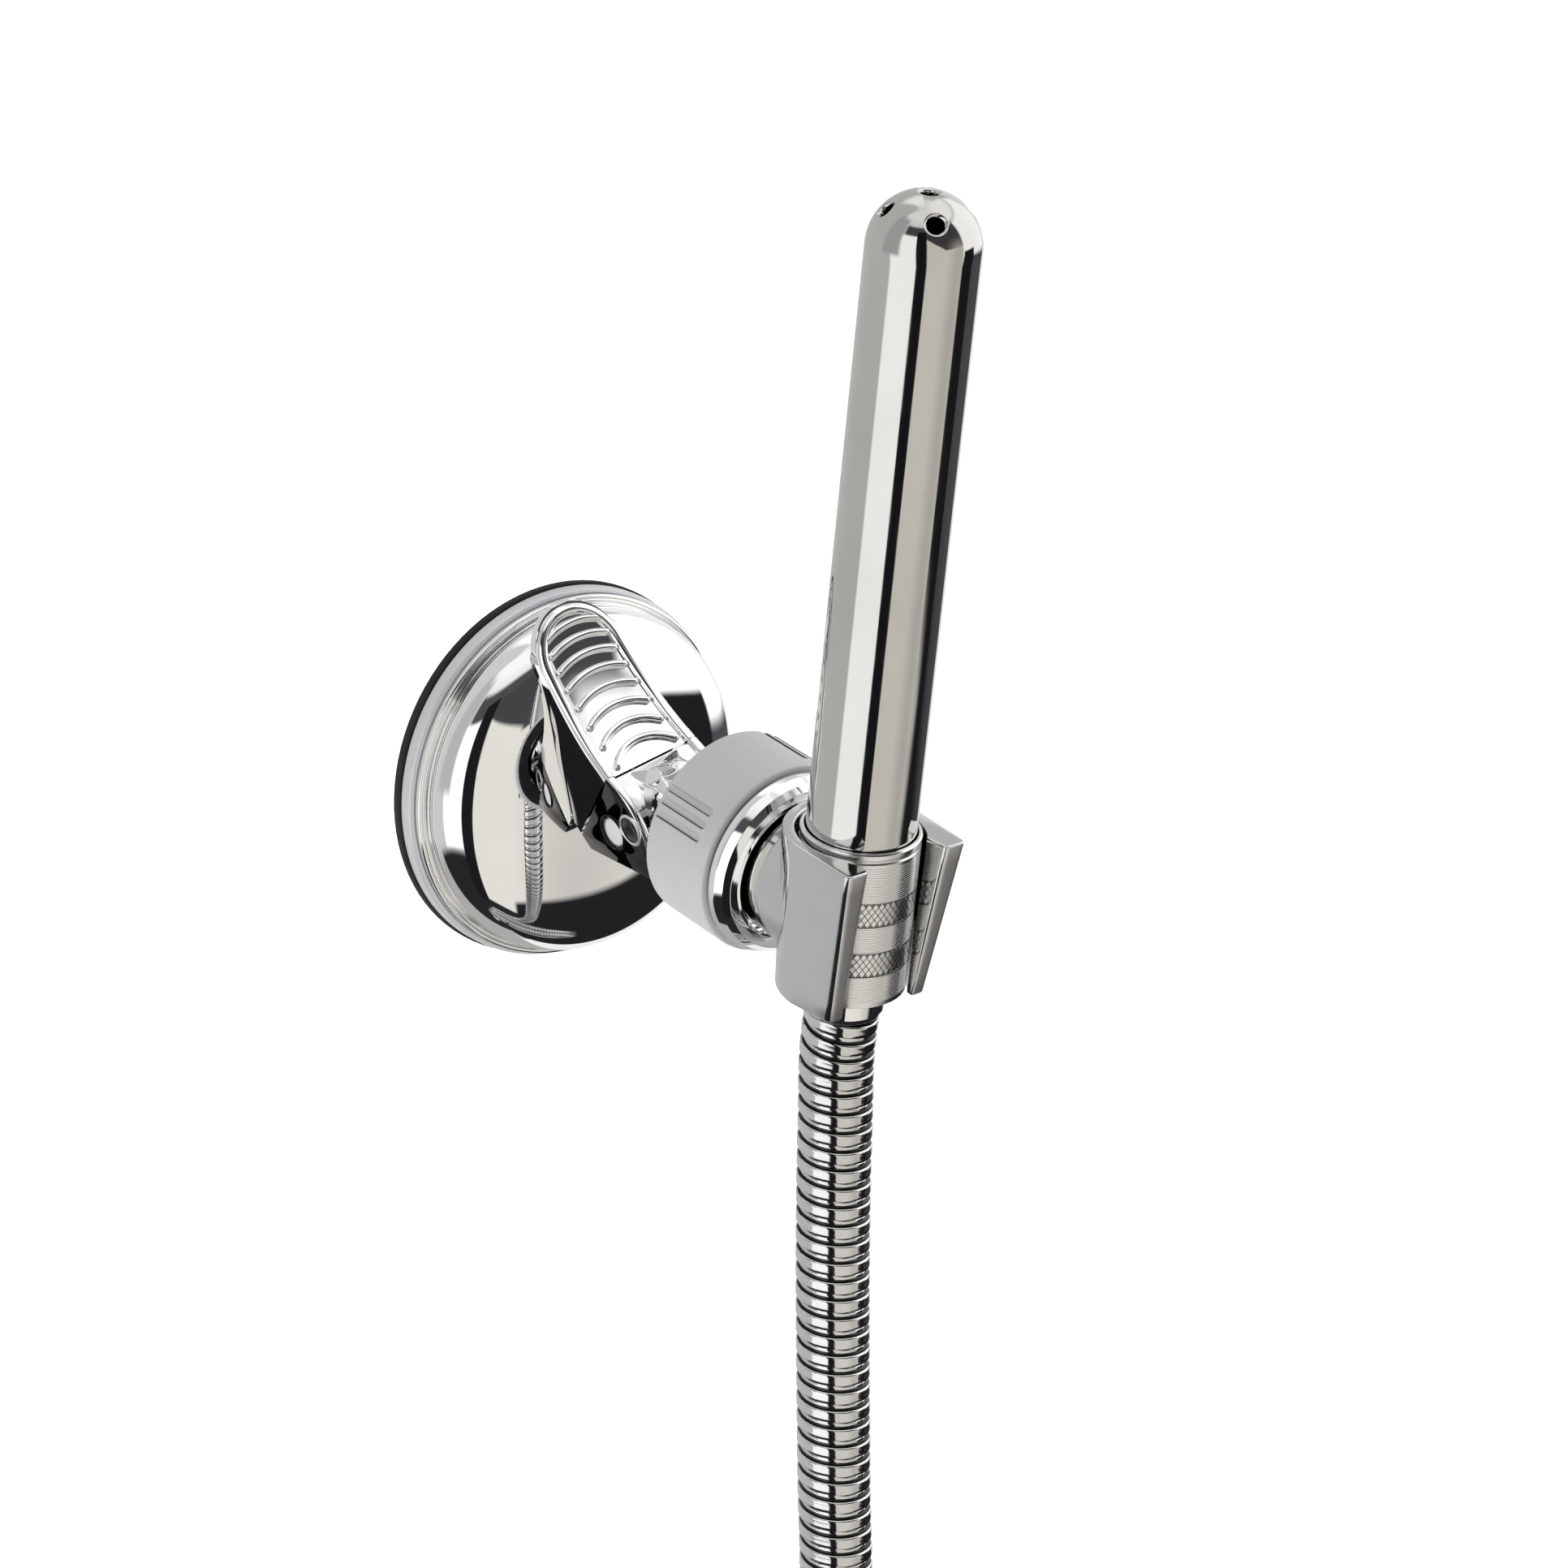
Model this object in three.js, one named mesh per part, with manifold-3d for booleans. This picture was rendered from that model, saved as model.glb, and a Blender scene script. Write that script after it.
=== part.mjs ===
// Hand spray wand on a suction-cup wall bracket, with its metal hose.
// Millimetres, +Z up. The origin is the middle of the suction cup's wall face.
// The wall is the plane y = 0 and the bracket reaches out along -Y.
import * as THREE from 'three';
import { mergeVertices } from 'three/addons/utils/BufferGeometryUtils.js';
import Module from 'manifold-3d';

const wasm = await Module();
wasm.setup();

// ---- driving dimensions ----
const GAP = 0.3;                      // clearance between separate pieces
const ROLL = 11;                      // degrees the lever and arm are turned on the base axis
const DIP = 8.15;                     // degrees the arm slopes down from the base
const ARM_REACH = 92.2;               // wall to the wand axis
const ARM_RISE = 0.5;                 // wand crossing above the base axis

const CUP_RADIUS = 37.2;
const CUP_SEAL_INNER = 25;
const CUP_RIM = 1.9;
const RING_RADIUS = 36.8;
const RING_FRONT = 5.4;
const DOME_RADIUS = 34.2;
const DOME_FOOT = 8;
const DOME_RISE = 13.1;
const DOME_POWER = 2.63;
const DOME_WALL = 1.8;
const STEM_RADIUS = 4;
const STEM_HEAD_RADIUS = 9;
const STEM_HEAD_IN = 5.6;
const STEM_HEAD_OUT = 8.4;

const PIN_Y = -34.2;                  // cross pin, in the plane of the lever
const PIN_Z = 1.3;
const PIN_RADIUS = 2.9;
const LEVER_HALF_WIDTH = 10.8;
const CHEEK_INNER = 7.6;
const TONGUE_TIP_RADIUS = 9.5;
const TONGUE_TIP_CENTRE = 29.3;

const COLLAR_RADIUS = 18.6;
const COLLAR_FRONT = 20.4;            // distances along the arm, from the wand axis to the wall
const COLLAR_REAR = 37;
const NECK_RADIUS = 11.4;
const THREAD_RADIUS = 15.2;
const FLANGE_RADIUS = 17.5;
const FLANGE_FRONT = 15.6;
const HUB_RADIUS = 12.8;

const CLIP_TOP = 15.2;                // heights along the wand, from the arm axis
const CLIP_BOTTOM = -16.7;
const BORE_TOP = 11.8;
const BORE_BOTTOM = 11.3;

const TUBE_RADIUS = 10;
const TUBE_WALL = 0.9;
const TUBE_TIP = 135.1;
const HOLE_RADIUS = 1.5;
const HOLE_TILT = 47;                 // degrees from the tip's middle to each side hole
const HOLE_TURN = 30;                 // degrees from straight outward to the first side hole
const SEAL_FOOT = 9.3;
const SEAL_TOP = 10.3;
const BASE_RADIUS = 11;
const BASE_TOP = 16;
const BASE_BOTTOM = -15.2;

const HOSE_RADIUS = 7;
const HOSE_EXIT = -21;                // along the wand axis
const COIL_RADIUS = 84;
const COIL_HEIGHT = -261;             // centre of the coil below the origin
const COIL_FRONT = -80.2;
const COIL_BACK = -46.1;
const JOIN_ANGLE = 205;               // where the hanging run meets the coil
const JOIN_DEPTH = -88.4;
const FIRST_TURN_DEPTH = -73;
const TURN_PITCH = 14.3;
const END_ANGLE = 900;
const TAIL_LENGTH = 100;
const NUT_RADIUS = 13.4;              // across corners, halved
const NUT_BORE = 10.4;

// ---- materials ----
function material(color, roughness, metalness) {
  return new THREE.MeshStandardMaterial({ color, roughness, metalness });
}
const chrome = material(0xd9dadb, 0.08, 1);
const satin = material(0xb9bbba, 0.3, 1);
const steel = material(0xc9c4bb, 0.22, 1);
const rubber = material(0x2b2c2f, 0.75, 0);
const nylon = material(0x26272a, 0.6, 0);
const plastic = material(0xe4e5e6, 0.5, 0);

// ---- solids ----
function toSolid(geometry) {
  const bare = geometry.index ? geometry.toNonIndexed() : geometry.clone();
  bare.deleteAttribute('normal');
  bare.deleteAttribute('uv');
  const merged = mergeVertices(bare, 1e-4);
  const source = merged.index.array;
  const triVerts = [];
  for (let i = 0; i < source.length; i += 3) {
    const [a, b, c] = [source[i], source[i + 1], source[i + 2]];
    if (a !== b && b !== c && c !== a) triVerts.push(a, b, c);
  }
  const mesh = new wasm.Mesh({
    numProp: 3,
    vertProperties: new Float32Array(merged.attributes.position.array),
    triVerts: new Uint32Array(triVerts),
  });
  return new wasm.Manifold(mesh);
}

function toGeometry(solid) {
  const mesh = solid.getMesh();
  const geometry = new THREE.BufferGeometry();
  geometry.setAttribute('position', new THREE.BufferAttribute(mesh.vertProperties, 3));
  geometry.setIndex(new THREE.BufferAttribute(mesh.triVerts, 1));
  return geometry;
}

function signedArea(points) {
  let area = 0;
  points.forEach(([x, y], i) => {
    const [nextX, nextY] = points[(i + 1) % points.length];
    area += x * nextY - nextX * y;
  });
  return area / 2;
}

// A solid turned about Y from a closed outline of [radius, position along Y].
function turned(outline, segments = 24) {
  const ordered = signedArea(outline) > 0 ? outline : [...outline].reverse();
  const points = [...ordered, ordered[0]].map(([r, y]) => new THREE.Vector2(r, y));
  return toSolid(new THREE.LatheGeometry(points, segments));
}

function ring(inner, outer, from, to, segments = 24) {
  return turned([[inner, from], [outer, from], [outer, to], [inner, to]], segments);
}

function disc(radius, from, to, segments = 24) {
  return ring(0, radius, from, to, segments);
}

function flatShape(points) {
  return new THREE.Shape(points.map(([x, y]) => new THREE.Vector2(x, y)));
}

// A prism along X from a side outline of [y, z].
function sidePrism(outline, fromX, toX) {
  const geometry = new THREE.ExtrudeGeometry(flatShape(outline), {
    depth: toX - fromX, bevelEnabled: false,
  });
  geometry.applyMatrix4(new THREE.Matrix4().makeBasis(
    new THREE.Vector3(0, 1, 0), new THREE.Vector3(0, 0, 1), new THREE.Vector3(1, 0, 0)));
  geometry.translate(fromX, 0, 0);
  return toSolid(geometry);
}

// A prism along Y from a front outline of [x, z], reaching from one depth to another.
function frontPrism(outline, fromY, toY) {
  const geometry = new THREE.ExtrudeGeometry(flatShape(outline), {
    depth: toY - fromY, bevelEnabled: false,
  });
  geometry.rotateX(Math.PI / 2);
  geometry.translate(0, toY, 0);
  return toSolid(geometry);
}

function box(x0, x1, y0, y1, z0, z1) {
  const geometry = new THREE.BoxGeometry(x1 - x0, y1 - y0, z1 - z0);
  geometry.translate((x0 + x1) / 2, (y0 + y1) / 2, (z0 + z1) / 2);
  return toSolid(geometry);
}

// A cylinder along X, centred on [y, z].
function crossRod(radius, x0, x1, y, z, segments = 20) {
  const geometry = new THREE.CylinderGeometry(radius, radius, x1 - x0, segments);
  geometry.rotateZ(Math.PI / 2);
  geometry.translate((x0 + x1) / 2, y, z);
  return toSolid(geometry);
}

// A round tube along a curve.
function hoseAlong(curve, steps, radius = HOSE_RADIUS, sides = 8) {
  const section = [];
  for (let i = 0; i < sides; i += 1) {
    const angle = (i / sides) * 2 * Math.PI;
    section.push([radius * Math.cos(angle), radius * Math.sin(angle)]);
  }
  return toSolid(new THREE.ExtrudeGeometry(flatShape(section), { steps, extrudePath: curve }));
}

// ---- suction base, turned about the Y axis; depth is the distance out from the wall ----
function fromWall(outline) {
  return outline.map(([radius, depth]) => [radius, -depth]);
}

function domeDepth(radius) {
  const across = (radius / DOME_RADIUS) ** DOME_POWER;
  return DOME_FOOT + DOME_RISE * (1 - across) ** (1 / DOME_POWER);
}

function domeArc(from, to, drop, count) {
  const points = [];
  for (let i = 0; i <= count; i += 1) {
    const share = 1 - Math.cos((i / count) * Math.PI / 2);
    const radius = from + (to - from) * share;
    points.push([radius, domeDepth(radius) - drop]);
  }
  return points;
}

function suctionCup() {
  const head = STEM_HEAD_RADIUS + GAP;
  const bore = STEM_RADIUS + GAP;
  return turned(fromWall([
    [0, 1.2], [20, 0.8], [CUP_SEAL_INNER, 0], [CUP_RADIUS, 0], [CUP_RADIUS, CUP_RIM],
    [33, CUP_RIM], [32, 3], [22, 3.6], [12, 4.6], [10.6, 11.5], [bore, 11.5],
    [bore, STEM_HEAD_OUT + GAP], [head, STEM_HEAD_OUT + GAP], [head, 2.7], [0, 2.7],
  ]), 36);
}

function clampRing() {
  return turned(fromWall([
    [33.4, CUP_RIM + GAP], [RING_RADIUS, CUP_RIM + GAP], [RING_RADIUS, RING_FRONT - 0.5],
    [RING_RADIUS - 0.5, RING_FRONT], [35.9, RING_FRONT], [35.6, 4.9], [35.2, RING_FRONT],
    [33.4, RING_FRONT],
  ]), 36);
}

function baseShell() {
  const bore = STEM_RADIUS + 0.4;
  const outer = domeArc(DOME_RADIUS, 9, 0, 7);
  const inner = domeArc(DOME_RADIUS - DOME_WALL, 9.5, DOME_WALL, 4).reverse();
  const skirt = 33.1;
  return turned(fromWall([
    [bore, domeDepth(0)], [bore, 14], [9, 14], ...inner, [DOME_RADIUS - DOME_WALL, 5],
    [31.2, 3.4], [skirt, 3.4], [skirt, RING_FRONT + GAP], [35.2, RING_FRONT + GAP],
    [35.2, 6.6], [DOME_RADIUS, 7], ...outer,
  ]), 36);
}

function pressurePlate() {
  return ring(12.3, 30.5, -5.7, -4.9, 32);
}

class SpringCurve extends THREE.Curve {
  constructor(radius, start, end, turns) {
    super();
    Object.assign(this, { radius, start, end, turns });
  }

  getPoint(t, target = new THREE.Vector3()) {
    const angle = 2 * Math.PI * this.turns * t;
    const y = this.start + (this.end - this.start) * t;
    return target.set(this.radius * Math.cos(angle), y, this.radius * Math.sin(angle));
  }
}

function returnSpring() {
  return hoseAlong(new SpringCurve(13, -7, -18, 3), 42, 0.7, 6);
}

function drawStem() {
  const shaft = turned(fromWall([
    [0, STEM_HEAD_IN], [STEM_HEAD_RADIUS, STEM_HEAD_IN], [STEM_HEAD_RADIUS, STEM_HEAD_OUT],
    [STEM_RADIUS, STEM_HEAD_OUT], [STEM_RADIUS, 29], [0, 29],
  ]));
  const web = box(-4, 4, PIN_Y, -27.5, PIN_Z - 5.2, PIN_Z + 5.2);
  const eye = crossRod(5.9, -4, 4, PIN_Y, PIN_Z);
  const hole = crossRod(PIN_RADIUS + GAP, -5, 5, PIN_Y, PIN_Z);
  return shaft.add(web).add(eye).subtract(hole);
}

// ---- lever and arm, drawn in the plane of the lever ----
function tonguePlan() {
  const outline = [[-LEVER_HALF_WIDTH, -8], [LEVER_HALF_WIDTH, -8], [LEVER_HALF_WIDTH, 12]];
  for (let i = 0; i <= 12; i += 1) {
    const angle = (i / 12) * Math.PI;
    outline.push([TONGUE_TIP_RADIUS * Math.cos(angle),
      TONGUE_TIP_CENTRE + TONGUE_TIP_RADIUS * Math.sin(angle)]);
  }
  outline.push([-LEVER_HALF_WIDTH, 12]);
  return outline;
}

const SEAM_TOP = [-35.4, 12.7];
const SEAM_FOOT = [-23.3, -2.6];

function leverTongue() {
  const front = [[-29.7, 17.1], [-25.1, 22.4], [-19.4, 28.6], [-16.8, 33.4], [-14.3, 39]];
  const back = [[-12.2, 39], [-14.6, 32.5], [-17.1, 29], [-19, 25], [-20.7, 20.5], [-21.3, 17],
    [-21.5, 11.5], [-21.5, -0.5]];
  const seam = [[SEAM_FOOT[0] + GAP, SEAM_FOOT[1] + GAP], [SEAM_TOP[0] + GAP, SEAM_TOP[1] + GAP]];
  const body = sidePrism([...front, ...back, ...seam], -12, 12);
  const hollow = sidePrism([[-33, 8.4], [-30, 12], [-25.5, 17], [-15, 17], [-15, -8], [-33, -8]],
    -CHEEK_INNER, CHEEK_INNER);
  const recess = tongueRecess();
  return body.intersect(frontPrism(tonguePlan(), -50, 0)).subtract(hollow).subtract(recess);
}

// The sunken face of the tongue, inside its raised rim.
function tongueRecess() {
  const depth = 0.9;
  const face = [[-35.4, 12.7], [-29.7, 17.1], [-25.1, 22.4], [-19.4, 28.6], [-16.8, 33.4],
    [-15.5, 36.3]];
  const sunk = face.map(([y, z]) => [y + depth, z - depth * 0.4]).reverse();
  const proud = face.map(([y, z]) => [y - 4, z + 2]);
  const half = LEVER_HALF_WIDTH - 2.2;
  const tip = TONGUE_TIP_RADIUS - 2.2;
  const plan = [[-half, 5], [half, 5]];
  for (let i = 0; i <= 10; i += 1) {
    const angle = (i / 10) * Math.PI;
    plan.push([tip * Math.cos(angle), TONGUE_TIP_CENTRE + tip * Math.sin(angle)]);
  }
  return sidePrism([...proud, ...sunk], -12, 12).intersect(frontPrism(plan, -60, 0));
}

function armYoke(armMatrix) {
  const half = LEVER_HALF_WIDTH;
  const body = sidePrism([SEAM_TOP, [-41.2, 8.1], [-44.1, 3], [-45.3, -4.4], [-43.5, -5.3],
    [-25.5, -5], SEAM_FOOT], -half, half);
  const slot = sidePrism([[-41.2, -8], [-41.2, 4], [-38, 8.4], [-20, 8.4], [-20, -8]],
    -CHEEK_INNER, CHEEK_INNER);
  const pinHole = crossRod(PIN_RADIUS + GAP, -12, 12, PIN_Y, PIN_Z);
  const spareLeft = crossRod(2.9, -12, -8.8, -40.3, 3.8);
  const spareRight = crossRod(2.9, 8.8, 12, -40.3, 3.8);
  const clearOfSlot = armNeck(armMatrix).subtract(slot);
  return body.subtract(slot).add(clearOfSlot).subtract(pinHole)
    .subtract(spareLeft).subtract(spareRight);
}

// The neck narrows towards the yoke, where it has flat sides and a sloping top.
function armNeck(armMatrix) {
  const round = turned([[0, 28.5], [THREAD_RADIUS, 28.5], [THREAD_RADIUS, 33],
    [NECK_RADIUS, 33.4], [NECK_RADIUS - 0.2, 36.5], [9.4, 40.5], [7.2, 47], [5.9, 53],
    [6.6, 57.5], [0, 57.5]], 36).transform(armMatrix.elements);
  const flats = sidePrism([[-60, -30], [-60, 30], [-49, 30], [-46, 14.9], [-38.6, 12.9],
    [-36.2, 12.2], [-36.5, -4], [-37, -30]], -6.3, 6.3);
  const frontEnd = sidePrism([[-90, -30], [-90, 30], [-54.6, 30], [-54.6, -30]], -20, 20);
  return round.intersect(flats.add(frontEnd));
}

function pinSpacer(side) {
  const tube = crossRod(5.4, 4 + GAP, CHEEK_INNER - GAP, PIN_Y, PIN_Z);
  const hole = crossRod(PIN_RADIUS + GAP, 3, 9, PIN_Y, PIN_Z);
  const spacer = tube.subtract(hole);
  return side < 0 ? spacer.mirror([1, 0, 0]) : spacer;
}

// ---- collar and swivel, turned about the arm axis ----
function clampCollar() {
  const shell = turned([[12, COLLAR_REAR], [12, 33.6], [15.6, 33.6], [15.6, COLLAR_FRONT],
    [COLLAR_RADIUS - 0.4, COLLAR_FRONT], [COLLAR_RADIUS, COLLAR_FRONT + 0.6],
    [COLLAR_RADIUS - 0.2, COLLAR_REAR - 1], [COLLAR_RADIUS - 1, COLLAR_REAR]], 40);
  let collar = shell;
  for (let set = 0; set < 4; set += 1) {
    for (let i = -1; i <= 1; i += 1) {
      collar = collar.subtract(gripGroove(set * 90 + 41 + i * 8));
    }
  }
  return collar;
}

function gripGroove(angle) {
  const geometry = new THREE.BoxGeometry(1.6, 14, 1.5);
  geometry.translate(COLLAR_RADIUS + 0.4, 30.4, 0);
  geometry.rotateY(THREE.MathUtils.degToRad(angle));
  return toSolid(geometry);
}

function swivelFlange() {
  return turned([[2.7, 26], [2.7, FLANGE_FRONT], [FLANGE_RADIUS - 1.6, FLANGE_FRONT],
    [FLANGE_RADIUS - 0.5, 16.7], [FLANGE_RADIUS, 18.5], [FLANGE_RADIUS, 20.1],
    [THREAD_RADIUS, 20.1], [THREAD_RADIUS, 26]], 36);
}

function flangeScrew() {
  return turned([[0, 12], [4, 12], [4, 13.6], [2.4, 13.6], [2.4, 25], [0, 25]], 16);
}

// ---- holder clip: a C-shaped sleeve with two flat lips, open at the front ----
function clipSection(height) {
  const share = (height - CLIP_BOTTOM) / (CLIP_TOP - CLIP_BOTTOM);
  const mix = (low, high) => low + (high - low) * share;
  const outer = mix(12.6, 14.1);
  const bore = mix(BORE_BOTTOM, BORE_TOP);
  const slot = mix(8.1, 8.8);
  const lipReach = mix(9.2, 12.9);
  const lipHalf = mix(11.3, 13.9);
  const boreStart = Math.acos(slot / bore);
  const points = [[lipHalf, -lipReach]];
  for (let i = 0; i <= 16; i += 1) {
    const angle = (i / 16) * Math.PI;
    points.push([outer * Math.cos(angle), outer * Math.sin(angle)]);
  }
  points.push([-lipHalf, -lipReach], [-slot, -lipReach]);
  for (let i = 0; i <= 20; i += 1) {
    const angle = Math.PI + boreStart - (i / 20) * (Math.PI + 2 * boreStart);
    points.push([bore * Math.cos(angle), bore * Math.sin(angle)]);
  }
  points.push([slot, -lipReach]);
  return points;
}

function lofted(low, high, lowZ, highZ) {
  const count = low.length;
  const positions = [...low.map(([x, y]) => [x, y, lowZ]), ...high.map(([x, y]) => [x, y, highZ])];
  const index = [];
  for (let i = 0; i < count; i += 1) {
    const next = (i + 1) % count;
    index.push(i, next, count + next, i, count + next, count + i);
  }
  const contour = low.map(([x, y]) => new THREE.Vector2(x, y));
  THREE.ShapeUtils.triangulateShape(contour, []).forEach(([a, b, c]) => {
    index.push(a, c, b, count + a, count + b, count + c);
  });
  const geometry = new THREE.BufferGeometry();
  geometry.setAttribute('position', new THREE.Float32BufferAttribute(positions.flat(), 3));
  geometry.setIndex(index);
  return toSolid(geometry);
}

function holderClip() {
  const sleeve = lofted(clipSection(CLIP_BOTTOM), clipSection(CLIP_TOP), CLIP_BOTTOM, CLIP_TOP);
  const bore = (BORE_TOP + BORE_BOTTOM) / 2;
  const hub = disc(HUB_RADIUS, 4, FLANGE_FRONT - GAP, 40);
  const opening = toSolid(new THREE.CylinderGeometry(BORE_TOP, BORE_BOTTOM, 31.9, 40)
    .rotateX(Math.PI / 2).translate(0, 0, (CLIP_TOP + CLIP_BOTTOM) / 2));
  const screwHole = disc(2.7, bore - 3, 16, 24);
  const headSeat = disc(4.3, bore - 3, 13.9, 24);
  return hub.subtract(opening).add(sleeve).subtract(screwHole).subtract(headSeat);
}

// ---- wand, turned about Z ----
function upright(solid) {
  return solid.rotate([90, 0, 0]);
}

function sprayHole(tilt, turn) {
  const geometry = new THREE.CylinderGeometry(HOLE_RADIUS, HOLE_RADIUS, 8, 12);
  geometry.translate(0, TUBE_RADIUS, 0);
  geometry.rotateX(Math.PI / 2);
  geometry.rotateX(THREE.MathUtils.degToRad(tilt));
  geometry.rotateZ(THREE.MathUtils.degToRad(turn));
  geometry.translate(0, 0, TUBE_TIP - TUBE_RADIUS);
  return toSolid(geometry);
}

function wandTube() {
  const centre = TUBE_TIP - TUBE_RADIUS;
  const bore = TUBE_RADIUS - TUBE_WALL;
  const outline = [[bore, SEAL_TOP + GAP], [TUBE_RADIUS, SEAL_TOP + GAP]];
  for (let i = 0; i <= 7; i += 1) {
    const angle = (i / 7) * Math.PI / 2;
    outline.push([TUBE_RADIUS * Math.cos(angle), centre + TUBE_RADIUS * Math.sin(angle)]);
  }
  for (let i = 5; i >= 0; i -= 1) {
    const angle = (i / 5) * Math.PI / 2;
    outline.push([bore * Math.cos(angle), centre + bore * Math.sin(angle)]);
  }
  let tube = upright(turned(outline, 28)).subtract(sprayHole(0, 0));
  for (let i = 0; i < 4; i += 1) {
    tube = tube.subtract(sprayHole(90 - HOLE_TILT, -HOLE_TURN + i * 90));
  }
  return tube;
}

function wandBase() {
  return upright(turned([
    [8.6, 9], [8.6, 3], [9.5, 3], [9.5, BASE_BOTTOM], [BASE_RADIUS - 0.3, BASE_BOTTOM],
    [BASE_RADIUS, BASE_BOTTOM + 0.4], [BASE_RADIUS, 13.4], [BASE_RADIUS - 0.3, 13.7],
    [BASE_RADIUS - 0.3, 14.2], [BASE_RADIUS, 14.6], [BASE_RADIUS, 15.4],
    [BASE_RADIUS - 0.3, BASE_TOP], [TUBE_RADIUS + GAP, BASE_TOP], [TUBE_RADIUS + GAP, 9],
  ], 28));
}

function flowDisc() {
  let plate = upright(disc(8.2, 5, 6.6, 32));
  for (let i = 0; i < 6; i += 1) {
    const angle = (i / 6) * 2 * Math.PI;
    const hole = new THREE.CylinderGeometry(1.1, 1.1, 6, 8).rotateX(Math.PI / 2)
      .translate(5 * Math.cos(angle), 5 * Math.sin(angle), 5.8);
    plate = plate.subtract(toSolid(hole));
  }
  return plate;
}

function hoseFerruleTop() {
  return upright(turned([[5, HOSE_EXIT + GAP], [7.6, HOSE_EXIT + GAP], [7.6, -4.5], [8.9, -4.5],
    [8.9, -1.5], [5, -1.5]], 32));
}

// ---- hose ----
function coilDepth(angle) {
  const merge = 200;
  const past = angle - JOIN_ANGLE;
  if (past < merge) return JOIN_DEPTH + (FIRST_TURN_DEPTH - JOIN_DEPTH) * past / merge;
  return FIRST_TURN_DEPTH + TURN_PITCH * (past - merge) / 360;
}

function coilPoint(angle) {
  const turn = THREE.MathUtils.degToRad(angle);
  return new THREE.Vector3(COIL_RADIUS * Math.cos(turn), coilDepth(angle),
    COIL_HEIGHT + COIL_RADIUS * Math.sin(turn));
}

function hoseRun(exit, lead) {
  const points = [
    exit, lead, [0, -87.4, -41], [0, -86.9, -58], [0, -86.8, -76], [0, -87, -95],
    [0, -87.4, -118], [0, -87.8, -142], [-3.5, -88.1, -163], [-12, -88.4, -183],
    [-25.5, -88.4, -198], [-41.2, -88.4, -207.5], [-56.5, -88.4, -215.5],
    [-70, -88.4, -228.5], [-79.5, -88.4, -246.5], [-82.4, -88.4, -268.2],
  ].map(([x, y, z]) => new THREE.Vector3(x, y, z));
  for (let angle = JOIN_ANGLE; angle <= JOIN_ANGLE + 120; angle += 24) {
    points.push(coilPoint(angle));
  }
  return hoseAlong(new THREE.CatmullRomCurve3(points), 26);
}

function coilRing(clearance) {
  const inner = COIL_RADIUS - HOSE_RADIUS - clearance;
  const outer = COIL_RADIUS + HOSE_RADIUS + clearance;
  const front = COIL_FRONT - clearance;
  const back = COIL_BACK + clearance;
  const corner = 4;
  return turned([[inner, front + corner], [inner + corner, front], [outer - corner, front],
    [outer, front + corner], [outer, back - corner], [outer - corner, back],
    [inner + corner, back], [inner, back - corner]], 40).translate([0, 0, COIL_HEIGHT]);
}

function hoseTail() {
  const start = coilPoint(END_ANGLE);
  const end = start.clone().add(new THREE.Vector3(0, 0, -TAIL_LENGTH));
  return hoseAlong(new THREE.LineCurve3(start, end), 3);
}

function hoseTie() {
  const inner = HOSE_RADIUS + 0.6;
  const strap = 1.6;
  const reach = [-93.8, -45.5];
  const band = box(-inner - strap, inner + strap, reach[0] - strap, reach[1] + strap, -4, 4)
    .subtract(box(-inner, inner, reach[0], reach[1], -6, 6));
  return band.translate([COIL_RADIUS, 0, 0]).rotate([0, -237, 0]).translate([0, 0, COIL_HEIGHT]);
}

// A six-sided union nut with a round bore that holds the ferrule's shoulder.
function hoseNutEnd() {
  const body = turned([[0, -8], [12, -8], [NUT_RADIUS, -10.4], [NUT_RADIUS, -33], [0, -33]], 6);
  return upright(body.subtract(disc(7.9, -40, 0)).subtract(disc(NUT_BORE, -40, -19.2)));
}

// ---- assembly ----
const group = new THREE.Group();
const lever = new THREE.Group();
lever.rotation.y = THREE.MathUtils.degToRad(-ROLL);
const arm = new THREE.Group();
arm.position.set(0, -ARM_REACH, ARM_RISE);
arm.rotation.x = THREE.MathUtils.degToRad(DIP);
const holder = new THREE.Group();
holder.rotation.y = THREE.MathUtils.degToRad(ROLL);
group.add(lever);
lever.add(arm);
arm.add(holder);
group.updateMatrixWorld(true);
arm.updateMatrix();

function place(parent, name, solid, look) {
  const mesh = new THREE.Mesh(toGeometry(solid), look);
  mesh.name = name;
  parent.add(mesh);
}

place(group, 'suction_cup', suctionCup(), rubber);
place(group, 'clamp_ring', clampRing(), chrome);
place(group, 'base_shell', baseShell(), chrome);
place(group, 'pressure_plate', pressurePlate(), plastic);
place(group, 'return_spring', returnSpring(), steel);

place(lever, 'draw_stem', drawStem(), steel);
place(lever, 'pivot_pin', crossRod(PIN_RADIUS, -10.6, 10.6, PIN_Y, PIN_Z), chrome);
place(lever, 'spacer_left', pinSpacer(-1), plastic);
place(lever, 'spacer_right', pinSpacer(1), plastic);
place(lever, 'lever_tongue', leverTongue(), chrome);
place(lever, 'arm_yoke', armYoke(arm.matrix), chrome);

place(arm, 'clamp_collar', clampCollar(), satin);
place(arm, 'friction_washer', ring(8, 15, 26 + GAP, 28.5 - GAP), rubber);
place(arm, 'swivel_flange', swivelFlange(), chrome);
place(arm, 'flange_screw', flangeScrew(), steel);

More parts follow.
